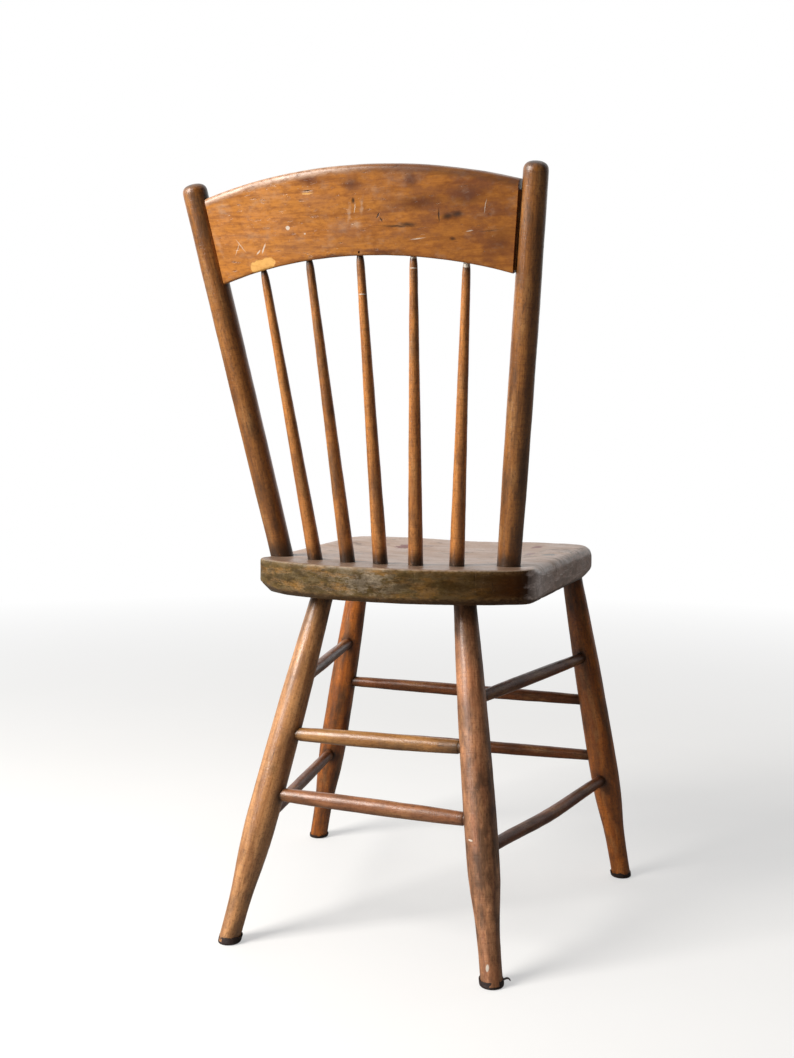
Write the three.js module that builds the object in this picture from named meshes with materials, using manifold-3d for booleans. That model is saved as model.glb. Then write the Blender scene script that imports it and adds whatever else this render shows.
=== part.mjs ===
// An old farmhouse side chair: a scooped plank seat on four turned legs tied by eight stretchers,
// with two raked back posts, five tapered spindles and a bowed crest rail let into the posts.
// Millimetres, +Z up. The sitter faces -Y, so the sitter's left is +X.

import * as THREE from "three";
import { mergeVertices } from "three/addons/utils/BufferGeometryUtils.js";
import Module from "manifold-3d";

const wasm = await Module();
wasm.setup();

// Fits
const CLEARANCE = 0.3; // gap round every tenon, and under each piece that rests on another

// Seat plank: Y is counted from a cross line near its middle
const SEAT_HEIGHT = 445; // floor to the flat deck that carries the back
const SEAT_THICKNESS = 40;
const SEAT_DEPTH = 395.5; // front edge to the middle of the rear edge
const SEAT_FRONT_HALF_WIDTH = 177;
const SEAT_LEFT_REAR_HALF_WIDTH = 158; // middle line to the left rear corner
const SEAT_RIGHT_REAR_HALF_WIDTH = 179; // the right one stands further out
const SEAT_REAR_RADIUS = 312; // rear edge, an arc seen from above
const SEAT_REAR_OVERHANG = 46; // plank behind the middle spindle
const SEAT_FRONT_CORNER = 42;
const SEAT_REAR_CORNER = 13;
const SEAT_EDGE_ROUND = 5; // worn arris, all round, above and below
const SCOOP_DEPTH = 9;
const SCOOP_HALF_WIDTH = 152;
const SCOOP_HALF_LENGTH = 190;
const SCOOP_CENTRE = 170; // behind the front edge
const DECK_FRONT = 19; // flat deck left in front of the spindle line

// Back: the posts and spindles stand on an arc across the rear deck
const SPINDLE_LINE_Y = 154.5; // middle of the arc
const SPINDLE_LINE_RADIUS = 300;
const SPINDLE_INNER_X = 42;
const SPINDLE_OUTER_X = 88;
const POST_SEAT_X = 142.5;
const POST_TOP_X = 198; // the posts spread
const POST_RAKE = 112.5; // and lean back, from deck to tip
const POST_RISE = 426.5; // height of the tips over the deck
const POST_SEAT_DIAMETER = 27;
const POST_BELLY_DIAMETER = 28.5;
const POST_TOP_DIAMETER = 26.5;
const POST_DOME = 10; // height of the rounded tip
const POST_ENTRY = 24; // depth in the seat
const SPINDLE_SEAT_DIAMETER = 17.5;
const SPINDLE_TIP_DIAMETER = 6.4;
const SPINDLE_SHOULDER_DIAMETER = 9.2; // where it narrows to the tip
const SPINDLE_SHOULDER_DROP = 16; // below the crest rail
const SPINDLE_ENTRY = 18; // depth in the seat
const SPINDLE_TIP_ENTRY = 12; // depth in the crest rail
const SPINDLE_TIP_INNER_X = 61;
const SPINDLE_TIP_OUTER_X = 119;

// Crest rail: lengths are measured in the leaning plane of the two posts
const CREST_DROP = 85; // from the level of the tips to the middle of its lower edge
const CREST_HEIGHT = 94;
const CREST_THICKNESS = 15;
const CREST_ARCH_RADIUS = 558; // lower edge, with the upper one concentric
const CREST_BOW = 8; // middle of the rail behind its ends
const CREST_SETBACK = 2.5; // its ends behind the axes of the posts
const CREST_EDGE_ROUND = 3.5;
const CREST_SHOULDER_GAP = 0.4; // open joint between shoulder and post
const CREST_TENON_THICKNESS = 8;
const CREST_TENON_INSET = 6; // tenon kept back from the rail's edges
const CREST_TENON_STOP = 3; // tenon ends this short of the post's axis
const NAIL_HOLE_DIAMETER = 2.4;
const NAIL_HOLE_DEPTH = 3;
const NAIL_HOLE_UP = 4.5; // above the lower edge
const NAIL_HOLE_X = -2.5;

// Legs: places on the floor and at the seat's underside, lengths along the leg
const FRONT_FEET_SPREAD = 448; // between the axes of the front feet
const FRONT_FOOT_INSET = 26; // behind the front edge
const FRONT_TOP_X = 151.5;
const FRONT_TOP_INSET = 39;
const REAR_FEET_SPREAD = 321;
const REAR_FOOT_Y = 225;
const REAR_TOP_X = 89;
const REAR_TOP_Y = 114;
const LEG_TOP_DIAMETER = 26.5;
const LEG_BELLY_DIAMETER = 37;
const LEG_ANKLE_DIAMETER = 24.5;
const LEG_BELLY_UP = 152; // from the floor to the widest place
const LEG_ANKLE_UP = 20; // from the floor to where the leg starts to swell
const LEG_NECK = 12; // straight stretch below the seat
const LEG_ENTRY = 24; // depth in the seat

// Stretchers: heights of their axes on the leg axes, left end first, or rear end first at the sides
const REAR_UPPER_HEIGHTS = [237.5, 241.5];
const REAR_LOWER_HEIGHTS = [168.5, 165.5];
const FRONT_UPPER_HEIGHTS = [236.5, 237.5];
const FRONT_LOWER_HEIGHTS = [155.5, 162.5];
const LEFT_UPPER_HEIGHTS = [296, 294.5];
const LEFT_LOWER_HEIGHTS = [133.5, 130];
const RIGHT_UPPER_HEIGHTS = [292.5, 296.5];
const RIGHT_LOWER_HEIGHTS = [134, 133];
const STRETCHER_END_DIAMETER = 14;
const REAR_STRETCHER_DIAMETER = 18.5;
const FRONT_STRETCHER_DIAMETER = 16.5;
const SIDE_STRETCHER_DIAMETER = 15.5;
const STRETCHER_STOP = 3; // tenons end this short of the leg's axis
const STRETCHER_NECK = 4; // straight stretch outside the leg's widest place
const RIGHT_LOWER_SAG = 4;

// Foot pads, each held by one tack
const PAD_FLOOR = 3;
const PAD_HEIGHT = 6;
const PAD_RIM = 1.1; // wall of the turned-up rim
const PAD_EDGE_ROUND = 1.2;
const TACK_HEAD_DIAMETER = 7;
const TACK_HEAD_HEIGHT = 1.2;
const TACK_SHANK_DIAMETER = 2.4;
const TACK_LENGTH = 15;
const TACK_POINT = 4;
const TACK_RECESS = 0.5; // head above the floor

// Facets
const POST_SIDES = 18;
const SPINDLE_SIDES = 14;
const LEG_SIDES = 18;
const STRETCHER_SIDES = 14;
const PAD_SIDES = 16;
const TACK_SIDES = 10;
const CURVE_STEPS = 5; // steps in each curved stretch of a profile
const CREST_STEPS = 20;
const CREST_CORNER_STEPS = 2;
const SCOOP_SIDES = 40;
const DECK_SIDES = 96;

// How far a cutter reaches past the face that it opens
const OVERCUT = 20;

// Finishes
const STAINED_WOOD = { color: "#8b5a2b", roughness: 0.55, metalness: 0 };
const VARNISHED_WOOD = { color: "#a4652c", roughness: 0.4, metalness: 0 };
const PAINTED_WOOD = { color: "#7d6a48", roughness: 0.7, metalness: 0 };
const OLD_LEATHER = { color: "#2b1a14", roughness: 0.85, metalness: 0 };
const RUSTED_IRON = { color: "#4f4740", roughness: 0.7, metalness: 0.6 };

// Solids, all in the chair's frame

function solidOf(geometry, frame = new THREE.Matrix4()) {
  const placed = geometry.clone().applyMatrix4(frame);
  placed.deleteAttribute("normal");
  placed.deleteAttribute("uv");
  const merged = mergeVertices(placed);
  return new wasm.Manifold(
    new wasm.Mesh({
      numProp: 3,
      vertProperties: merged.getAttribute("position").array,
      triVerts: new Uint32Array(merged.index.array),
    }),
  );
}

function geometryOf(solid, frame) {
  const { vertProperties, triVerts } = solid.getMesh();
  const geometry = new THREE.BufferGeometry();
  geometry.setAttribute("position", new THREE.BufferAttribute(vertProperties, 3));
  geometry.setIndex(new THREE.BufferAttribute(triVerts, 1));
  geometry.applyMatrix4(frame.clone().invert());
  geometry.computeVertexNormals();
  return geometry;
}

function cut(solid, cutters) {
  return cutters.reduce((left, cutter) => left.subtract(cutter), solid);
}

// A frame at one point, with +Z towards another and +X turned to a given side
function frameAlong(from, to, side = new THREE.Vector3(1, 0, 0)) {
  const along = to.clone().sub(from).normalize();
  const normal = along.clone().cross(side).normalize();
  const across = normal.clone().cross(along);
  return new THREE.Matrix4().makeBasis(across, normal, along).setPosition(from);
}

// A turned form on +Z from a half profile of radius and height
function turned(path, sides) {
  return new THREE.LatheGeometry(path.getPoints(CURVE_STEPS), sides).rotateX(Math.PI / 2);
}

// A round bar on +Z between two heights
function bar(diameter, low, high, sides) {
  const cylinder = new THREE.CylinderGeometry(diameter / 2, diameter / 2, high - low, sides);
  return cylinder.rotateX(Math.PI / 2).translate(0, 0, (low + high) / 2);
}

function pointOnLine(from, to, share) {
  return from.clone().lerp(to, share);
}

// Layout worked out from the sizes above

const UNDERSIDE = SEAT_HEIGHT - SEAT_THICKNESS;
const seatRearY = SPINDLE_LINE_Y + SEAT_REAR_OVERHANG;
const seatFrontY = seatRearY - SEAT_DEPTH;
const SIDES = [
  ["left", 1],
  ["right", -1],
];

function spindleLineY(x) {
  return SPINDLE_LINE_Y + Math.sqrt(SPINDLE_LINE_RADIUS ** 2 - x ** 2) - SPINDLE_LINE_RADIUS;
}

const backTilt = Math.atan2(POST_RAKE, POST_RISE);
const backLength = Math.hypot(POST_RAKE, POST_RISE);
const crestRise = backLength - CREST_DROP;
const backFrame = new THREE.Matrix4()
  .makeRotationX(-backTilt)
  .setPosition(0, spindleLineY(POST_SEAT_X), SEAT_HEIGHT);

function inBack(x, behind, up) {
  return new THREE.Vector3(x, behind, up).applyMatrix4(backFrame);
}

const postFrames = SIDES.map(([, sign]) =>
  frameAlong(inBack(sign * POST_SEAT_X, 0, 0), inBack(sign * POST_TOP_X, 0, backLength)),
);
const postLength = Math.hypot(backLength, POST_TOP_X - POST_SEAT_X);

const legs = SIDES.flatMap(([side, sign]) => [
  {
    name: `front_${side}`,
    foot: new THREE.Vector3((sign * FRONT_FEET_SPREAD) / 2, seatFrontY + FRONT_FOOT_INSET, 0),
    top: new THREE.Vector3(sign * FRONT_TOP_X, seatFrontY + FRONT_TOP_INSET, UNDERSIDE),
  },
  {
    name: `rear_${side}`,
    foot: new THREE.Vector3((sign * REAR_FEET_SPREAD) / 2, REAR_FOOT_Y, 0),
    top: new THREE.Vector3(sign * REAR_TOP_X, REAR_TOP_Y, UNDERSIDE),
  },
]);
for (const leg of legs) {
  leg.frame = frameAlong(leg.foot, leg.top);
  leg.length = leg.foot.distanceTo(leg.top);
  leg.padCentre = pointOnLine(leg.foot, leg.top, PAD_FLOOR / UNDERSIDE).setZ(0);
  leg.cutters = [];
}

function pointOnLeg(name, height) {
  const leg = legs.find((one) => one.name === name);
  return pointOnLine(leg.foot, leg.top, height / UNDERSIDE);
}

// Pieces, each with its own frame

const pieces = [];
const seatCutters = [];
const crestCutters = [];

function addPiece(name, solid, frame, finish) {
  pieces.push({ name, solid, frame, finish });
}

// Stretchers: round bars that swell in the middle, with tenons in sockets in the legs
function addStretcher(name, fromLeg, toLeg, heights, diameter, sag = 0) {
  const from = pointOnLeg(fromLeg, heights[0]);
  const to = pointOnLeg(toLeg, heights[1]);
  const frame = frameAlong(from, to, new THREE.Vector3(0, 0, 1));
  const span = from.distanceTo(to);
  const neck = LEG_BELLY_DIAMETER / 2 + STRETCHER_NECK;
  const end = STRETCHER_END_DIAMETER / 2;
  const profile = new THREE.Path()
    .moveTo(0, STRETCHER_STOP)
    .lineTo(end, STRETCHER_STOP)
    .lineTo(end, neck)
    .quadraticCurveTo(diameter - end, span / 2, end, span - neck)
    .lineTo(end, span - STRETCHER_STOP)
    .lineTo(0, span - STRETCHER_STOP);
  const body = turned(profile, STRETCHER_SIDES);
  const places = body.getAttribute("position");
  for (let i = 0; i < places.count; i += 1) {
    const share = THREE.MathUtils.clamp((places.getZ(i) - neck) / (span - 2 * neck), 0, 1);
    places.setX(i, places.getX(i) - sag * Math.sin(Math.PI * share) ** 2);
  }
  addPiece(name, solidOf(body, frame), frame, STAINED_WOOD);

  const hole = STRETCHER_END_DIAMETER + 2 * CLEARANCE;
  const bottom = STRETCHER_STOP - CLEARANCE;
  const mouth = neck + OVERCUT;
  const sockets = [
    [fromLeg, bar(hole, bottom, mouth, STRETCHER_SIDES)],
    [toLeg, bar(hole, span - mouth, span - bottom, STRETCHER_SIDES)],
  ];
  for (const [legName, socket] of sockets) {
    legs.find((leg) => leg.name === legName).cutters.push(solidOf(socket, frame));
  }
}

for (const [end, heights, level, diameter] of [
  ["rear", REAR_UPPER_HEIGHTS, "upper", REAR_STRETCHER_DIAMETER],
  ["rear", REAR_LOWER_HEIGHTS, "lower", REAR_STRETCHER_DIAMETER],
  ["front", FRONT_UPPER_HEIGHTS, "upper", FRONT_STRETCHER_DIAMETER],
  ["front", FRONT_LOWER_HEIGHTS, "lower", FRONT_STRETCHER_DIAMETER],
]) {
  addStretcher(`${end}_${level}_stretcher`, `${end}_left`, `${end}_right`, heights, diameter);
}
for (const [side, heights, level, sag] of [
  ["left", LEFT_UPPER_HEIGHTS, "upper", 0],
  ["left", LEFT_LOWER_HEIGHTS, "lower", 0],
  ["right", RIGHT_UPPER_HEIGHTS, "upper", 0],
  ["right", RIGHT_LOWER_HEIGHTS, "lower", RIGHT_LOWER_SAG],
]) {
  addStretcher(
    `${side}_${level}_stretcher`,
    `rear_${side}`,
    `front_${side}`,
    heights,
    SIDE_STRETCHER_DIAMETER,
    sag,
  );
}

// Legs: turned, cut level at the foot, with a tenon in the seat and a pad tacked underneath
function legProfile(leg, grown) {
  const top = LEG_TOP_DIAMETER / 2 + grown;
  const belly = LEG_BELLY_DIAMETER / 2 + grown;
  const ankle = LEG_ANKLE_DIAMETER / 2 + grown;
  const neck = leg.length - LEG_NECK;
  const swell = (LEG_ANKLE_UP + LEG_BELLY_UP) / 2;
  const end = leg.length + LEG_ENTRY + grown;
  return new THREE.Path()
    .moveTo(0, -OVERCUT)
    .lineTo(ankle, -OVERCUT)
    .lineTo(ankle, LEG_ANKLE_UP)
    .bezierCurveTo(ankle, swell, belly, swell, belly, LEG_BELLY_UP)
    .quadraticCurveTo(belly, (LEG_BELLY_UP + neck) / 2, top, neck)
    .lineTo(top, end)
    .lineTo(0, end);
}

function groundUpTo(height) {
  const slab = new THREE.BoxGeometry(2 * LEG_BELLY_DIAMETER, 2 * LEG_BELLY_DIAMETER, 2 * OVERCUT);
  return slab.translate(0, 0, height - OVERCUT);
}

function tackProfile(grown) {
  const head = TACK_HEAD_DIAMETER / 2 + grown;
  const shank = TACK_SHANK_DIAMETER / 2 + grown;
  const low = TACK_RECESS;
  const collar = low + TACK_HEAD_HEIGHT + grown;
  const tip = low + TACK_LENGTH;
  return new THREE.Path()
    .moveTo(0, grown ? -OVERCUT : low)
    .lineTo(head, grown ? -OVERCUT : low)
    .lineTo(head, collar)
    .lineTo(shank, collar)
    .lineTo(shank, tip - TACK_POINT)
    .lineTo(0, tip + grown);
}

const padRadius = LEG_ANKLE_DIAMETER / 2 + CLEARANCE + PAD_RIM;
const padProfile = new THREE.Path()
  .moveTo(0, 0)
  .lineTo(padRadius - PAD_EDGE_ROUND, 0)
  .quadraticCurveTo(padRadius, 0, padRadius, PAD_EDGE_ROUND)
  .lineTo(padRadius, PAD_HEIGHT)
  .lineTo(0, PAD_HEIGHT);

for (const leg of legs) {
  const padFrame = new THREE.Matrix4().setPosition(leg.padCentre);
  const tackHole = solidOf(turned(tackProfile(CLEARANCE), TACK_SIDES), padFrame);
  const ground = solidOf(groundUpTo(PAD_FLOOR + CLEARANCE), padFrame);
  const socketGround = solidOf(groundUpTo(PAD_FLOOR), padFrame);
  const body = solidOf(turned(legProfile(leg, 0), LEG_SIDES), leg.frame);
  const around = solidOf(turned(legProfile(leg, CLEARANCE), LEG_SIDES), leg.frame);
  addPiece(`${leg.name}_leg`, cut(body, [ground, tackHole, ...leg.cutters]), leg.frame, STAINED_WOOD);
  seatCutters.push(around);

  const pad = solidOf(turned(padProfile, PAD_SIDES), padFrame);
  const padHollow = around.subtract(socketGround);
  addPiece(`${leg.name}_foot_pad`, cut(pad, [padHollow, tackHole]), padFrame, OLD_LEATHER);
  const tack = solidOf(turned(tackProfile(0), TACK_SIDES), padFrame);
  addPiece(`${leg.name}_foot_tack`, tack, padFrame, RUSTED_IRON);
}

// Spindles: long tapers from the deck, narrowed to a tip in the crest rail's lower edge
const crestSpan = POST_TOP_X - POST_TOP_DIAMETER / 2;
const crestBowRadius = (crestSpan ** 2 + CREST_BOW ** 2) / (2 * CREST_BOW);

function crestArch(x) {
  return Math.sqrt(CREST_ARCH_RADIUS ** 2 - x ** 2) - CREST_ARCH_RADIUS;
}

function crestMiddle(x) {
  return CREST_SETBACK + CREST_BOW + Math.sqrt(crestBowRadius ** 2 - x ** 2) - crestBowRadius;
}

const spindles = [
  [SPINDLE_OUTER_X, SPINDLE_TIP_OUTER_X],
  [SPINDLE_INNER_X, SPINDLE_TIP_INNER_X],
  [0, 0],
  [-SPINDLE_INNER_X, -SPINDLE_TIP_INNER_X],
  [-SPINDLE_OUTER_X, -SPINDLE_TIP_OUTER_X],
];
spindles.forEach(([seatX, tipX], index) => {
  const from = new THREE.Vector3(seatX, spindleLineY(seatX), SEAT_HEIGHT);
  const to = inBack(tipX, crestMiddle(tipX), crestRise + crestArch(tipX));
  const frame = frameAlong(from, to);
  const span = from.distanceTo(to);
  const thick = SPINDLE_SEAT_DIAMETER / 2;
  const shoulder = SPINDLE_SHOULDER_DIAMETER / 2;
  const tip = SPINDLE_TIP_DIAMETER / 2;
  const profile = new THREE.Path()
    .moveTo(0, -SPINDLE_ENTRY)
    .lineTo(thick, -SPINDLE_ENTRY)
    .lineTo(thick, 0)
    .lineTo(shoulder, span - SPINDLE_SHOULDER_DROP)
    .lineTo(tip, span)
    .lineTo(tip, span + SPINDLE_TIP_ENTRY)
    .lineTo(0, span + SPINDLE_TIP_ENTRY);
  const spindle = solidOf(turned(profile, SPINDLE_SIDES), frame);
  addPiece(`spindle_${index + 1}`, spindle, frame, STAINED_WOOD);
  const seatHole = bar(
    SPINDLE_SEAT_DIAMETER + 2 * CLEARANCE,
    -SPINDLE_ENTRY - CLEARANCE,
    OVERCUT,
    SPINDLE_SIDES,
  );
  const tipHole = bar(
    SPINDLE_TIP_DIAMETER + 2 * CLEARANCE,
    span - OVERCUT,
    span + SPINDLE_TIP_ENTRY + CLEARANCE,
    SPINDLE_SIDES,
  );
  seatCutters.push(solidOf(seatHole, frame));
  crestCutters.push(solidOf(tipHole, frame));
});

// Posts: domed at the tip, tenoned in the deck, with a mortise for the crest rail
const postProfile = new THREE.Path()
  .moveTo(0, -POST_ENTRY)
  .lineTo(POST_SEAT_DIAMETER / 2, -POST_ENTRY)
  .lineTo(POST_SEAT_DIAMETER / 2, POST_SEAT_DIAMETER / 2)
  .quadraticCurveTo(
    POST_BELLY_DIAMETER - (POST_SEAT_DIAMETER + POST_TOP_DIAMETER) / 4,
    postLength / 2,
    POST_TOP_DIAMETER / 2,
    postLength - POST_DOME,
  )
  .quadraticCurveTo(POST_TOP_DIAMETER / 2, postLength, 0, postLength);
const postHole = bar(
  POST_SEAT_DIAMETER + 2 * CLEARANCE,
  -POST_ENTRY - CLEARANCE,
  OVERCUT,
  POST_SIDES,
);

// The rail's tenon in a post's frame, where +X points to the sitter's left
const shoulder = POST_BELLY_DIAMETER / 2 + CREST_SHOULDER_GAP;
const tenonX = POST_TOP_X - POST_TOP_DIAMETER / 2;
const tenonScale = postLength / backLength;
const tenonLow = (crestRise + crestArch(tenonX) + CREST_TENON_INSET) * tenonScale;
const tenonHigh = tenonLow + CREST_HEIGHT - 2 * CREST_TENON_INSET;

function tenonBlock(sign, grown, reach) {
  const near = CREST_TENON_STOP - grown;
  const block = new THREE.BoxGeometry(
    reach - near,
    CREST_TENON_THICKNESS + 2 * grown,
    tenonHigh - tenonLow + 2 * grown,
  );
  return block.translate((-sign * (reach + near)) / 2, 0, (tenonLow + tenonHigh) / 2);
}

function shoulderBlock(sign) {
  const block = new THREE.BoxGeometry(4 * OVERCUT, 4 * OVERCUT, 2 * backLength);
  return block.translate(sign * (2 * OVERCUT - shoulder), 0, backLength / 2);
}

SIDES.forEach(([side, sign], index) => {
  const frame = postFrames[index];
  const post = solidOf(turned(postProfile, POST_SIDES), frame);
  const mortise = solidOf(tenonBlock(sign, CLEARANCE, POST_BELLY_DIAMETER), frame);
  addPiece(`${side}_post`, post.subtract(mortise), frame, STAINED_WOOD);
  seatCutters.push(solidOf(postHole, frame));
});

// Crest rail: a rounded section swept along a bowed arch, shouldered and tenoned at both ends
class CrestLine extends THREE.Curve {
  getPoint(share) {
    const x = (2 * share - 1) * (POST_TOP_X + OVERCUT);
    const radius = CREST_ARCH_RADIUS + CREST_HEIGHT / 2;
    const rise = crestRise + CREST_HEIGHT / 2 + Math.sqrt(radius ** 2 - x ** 2) - radius;
    return new THREE.Vector3(x, crestMiddle(x), rise);
  }
}

function crestSection() {
  const halfDeep = CREST_THICKNESS / 2;
  const halfTall = CREST_HEIGHT / 2;
  const flatDeep = halfDeep - CREST_EDGE_ROUND;
  const flatTall = halfTall - CREST_EDGE_ROUND;
  return new THREE.Shape()
    .moveTo(-flatDeep, -halfTall)
    .lineTo(flatDeep, -halfTall)
    .quadraticCurveTo(halfDeep, -halfTall, halfDeep, -flatTall)
    .lineTo(halfDeep, flatTall)
    .quadraticCurveTo(halfDeep, halfTall, flatDeep, halfTall)
    .lineTo(-flatDeep, halfTall)
    .quadraticCurveTo(-halfDeep, halfTall, -halfDeep, flatTall)
    .lineTo(-halfDeep, -flatTall)
    .quadraticCurveTo(-halfDeep, -halfTall, -flatDeep, -halfTall);
}

function crestRail() {
  const rail = new THREE.ExtrudeGeometry(crestSection(), {
    curveSegments: CREST_CORNER_STEPS,
    steps: CREST_STEPS,
    extrudePath: new CrestLine(),
  });
  let solid = solidOf(rail, backFrame);
  SIDES.forEach(([, sign], index) => {
    solid = solid.subtract(solidOf(shoulderBlock(sign), postFrames[index]));
    solid = solid.add(solidOf(tenonBlock(sign, 0, shoulder + OVERCUT), postFrames[index]));
  });
  const nailHole = bar(NAIL_HOLE_DIAMETER, -NAIL_HOLE_DEPTH, OVERCUT, TACK_SIDES);
  nailHole.rotateX(-Math.PI / 2);
  const rearFace = crestMiddle(NAIL_HOLE_X) + CREST_THICKNESS / 2;
  const nailHeight = crestRise + crestArch(NAIL_HOLE_X) + NAIL_HOLE_UP;
  nailHole.translate(NAIL_HOLE_X, rearFace, nailHeight);
  return cut(solid, [...crestCutters, solidOf(nailHole, backFrame)]);
}
addPiece("crest_rail", crestRail(), backFrame, VARNISHED_WOOD);

// Seat: the plank's outline, its scoop and the sockets for every tenon
function seatOutline() {
  const arcY = seatRearY - SEAT_REAR_RADIUS;
  const onArc = (x) => arcY + Math.sqrt(SEAT_REAR_RADIUS ** 2 - x ** 2);
  const frontX = SEAT_FRONT_HALF_WIDTH;
  const leftX = SEAT_LEFT_REAR_HALF_WIDTH;
  const rightX = SEAT_RIGHT_REAR_HALF_WIDTH;
  const leftTurn = leftX - SEAT_REAR_CORNER;
  const rightTurn = rightX - SEAT_REAR_CORNER;
  const leftAngle = Math.acos(leftTurn / SEAT_REAR_RADIUS);
  const rightAngle = Math.acos(-rightTurn / SEAT_REAR_RADIUS);
  return new THREE.Shape()
    .moveTo(SEAT_FRONT_CORNER - frontX, seatFrontY)
    .lineTo(frontX - SEAT_FRONT_CORNER, seatFrontY)
    .quadraticCurveTo(frontX, seatFrontY, frontX, seatFrontY + SEAT_FRONT_CORNER)
    .lineTo(leftX, onArc(leftX) - SEAT_REAR_CORNER)
    .quadraticCurveTo(leftX, onArc(leftX), leftTurn, onArc(leftTurn))
    .absarc(0, arcY, SEAT_REAR_RADIUS, leftAngle, rightAngle, false)
    .quadraticCurveTo(-rightX, onArc(rightX), -rightX, onArc(rightX) - SEAT_REAR_CORNER)
    .lineTo(-frontX, seatFrontY + SEAT_FRONT_CORNER)
    .quadraticCurveTo(-frontX, seatFrontY, SEAT_FRONT_CORNER - frontX, seatFrontY);
}

function seatPlank() {
  const plank = new THREE.ExtrudeGeometry(seatOutline(), {
    depth: SEAT_THICKNESS - 2 * SEAT_EDGE_ROUND,
    curveSegments: CURVE_STEPS,
    bevelThickness: SEAT_EDGE_ROUND,
    bevelSize: SEAT_EDGE_ROUND,
    bevelOffset: -SEAT_EDGE_ROUND,
    bevelSegments: 2,
  });
  return solidOf(plank.translate(0, 0, UNDERSIDE + SEAT_EDGE_ROUND));
}

// The scoop is a shallow oval bowl that stops at a step in front of the spindles
function seatScoop() {
  const bowl = new THREE.Path()
    .moveTo(0, -SCOOP_DEPTH)
    .quadraticCurveTo(SCOOP_HALF_WIDTH / 2, -SCOOP_DEPTH, SCOOP_HALF_WIDTH, 0)
    .lineTo(SCOOP_HALF_WIDTH, OVERCUT)
    .lineTo(0, OVERCUT);
  const oval = turned(bowl, SCOOP_SIDES)
    .scale(1, SCOOP_HALF_LENGTH / SCOOP_HALF_WIDTH, 1)
    .translate(0, seatFrontY + SCOOP_CENTRE, SEAT_HEIGHT);
  const deckEdge = bar(
    2 * (SPINDLE_LINE_RADIUS - DECK_FRONT),
    SEAT_HEIGHT - 2 * OVERCUT,
    SEAT_HEIGHT + 2 * OVERCUT,
    DECK_SIDES,
  ).translate(0, SPINDLE_LINE_Y - SPINDLE_LINE_RADIUS, 0);
  return solidOf(oval).intersect(solidOf(deckEdge));
}
const seat = cut(seatPlank(), [seatScoop(), ...seatCutters]);
addPiece("seat", seat, new THREE.Matrix4(), PAINTED_WOOD);

// The chair, with its origin on the floor under the middle of its outline
const chair = new THREE.Group();
for (const { name, solid, frame, finish } of pieces) {
  const material = new THREE.MeshStandardMaterial(finish);
  const mesh = new THREE.Mesh(geometryOf(solid, frame), material);
  mesh.name = name;
  frame.decompose(mesh.position, mesh.quaternion, mesh.scale);
  chair.add(mesh);
}
const outline = new THREE.Box3().setFromObject(chair, true);
const middle = outline.getCenter(new THREE.Vector3());
chair.position.set(-middle.x, -middle.y, -outline.min.z);

export default chair;
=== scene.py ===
"""Dresses a weathered plank-seat chair: turned sticks, scooped seat, bowed crest rail, ragged foot pads."""

import math
from types import SimpleNamespace

import bpy
import numpy as np
from mathutils import Matrix, Vector, noise


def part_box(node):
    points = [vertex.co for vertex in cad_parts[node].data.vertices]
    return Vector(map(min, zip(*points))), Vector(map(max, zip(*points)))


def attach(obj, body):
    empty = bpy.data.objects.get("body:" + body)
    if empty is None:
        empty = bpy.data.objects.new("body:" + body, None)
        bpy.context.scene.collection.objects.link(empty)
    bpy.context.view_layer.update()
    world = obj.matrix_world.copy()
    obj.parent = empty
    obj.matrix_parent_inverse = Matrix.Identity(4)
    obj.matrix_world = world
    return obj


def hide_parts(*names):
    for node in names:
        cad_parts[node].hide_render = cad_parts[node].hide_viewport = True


bl_info = {
    "name": "Weathered plank-seat chair",
    "version": (1, 0, 0),
    "blender": (4, 5, 0),
    "location": "3D View > Sidebar > Chair",
    "description": "Models an old farmhouse chair with worn varnish, grime and flaking paint",
    "category": "Add Mesh",
}

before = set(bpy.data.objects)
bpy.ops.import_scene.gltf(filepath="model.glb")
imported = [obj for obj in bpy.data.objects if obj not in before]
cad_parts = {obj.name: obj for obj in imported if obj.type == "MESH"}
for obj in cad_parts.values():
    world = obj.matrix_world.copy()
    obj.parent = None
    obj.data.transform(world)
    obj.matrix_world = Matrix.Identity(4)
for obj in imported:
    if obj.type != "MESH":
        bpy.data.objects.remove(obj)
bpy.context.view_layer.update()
SEAT_LOW, SEAT_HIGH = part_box("seat")
MM = 0.001
SIDES = (("left", 1), ("right", -1))
GAP = 0.3 * MM  # clearance round every tenon
SLIVER = 0.02 * MM  # edges this short, left by a cut, are closed up
TOUCH = 1e-6  # points nearer than this are one
STATION = 6 * MM  # longest step along a turned profile
CREASE = math.radians(38)  # edges sharper than this stay sharp
TACK_HOLE, TACK_REACH = 1.5 * MM, 16 * MM  # radius and depth of a tack's hole in a leg
STOUT_WEAR = ((45, 0.35), (9, 0.12))  # unevenness of legs and posts: grain and depth in millimetres
WIDE = Vector((1, 0, 0))
UP = Vector((0, 0, 1))


def linear(code):
    """Turns an sRGB hex colour into a linear one."""
    parts = [int(code[i : i + 2], 16) / 255 for i in (1, 3, 5)]
    return [p / 12.92 if p <= 0.04045 else ((p + 0.055) / 1.055) ** 2.4 for p in parts]


def size(name, description, millimetres):
    """A length that a user may change."""
    return bpy.props.FloatProperty(
        name=name, description=description, default=millimetres * MM, unit="LENGTH", precision=4
    )


def tint(name, description, code):
    """A colour that a user may change."""
    return bpy.props.FloatVectorProperty(
        name=name, description=description, default=linear(code), subtype="COLOR", min=0, max=1
    )


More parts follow.
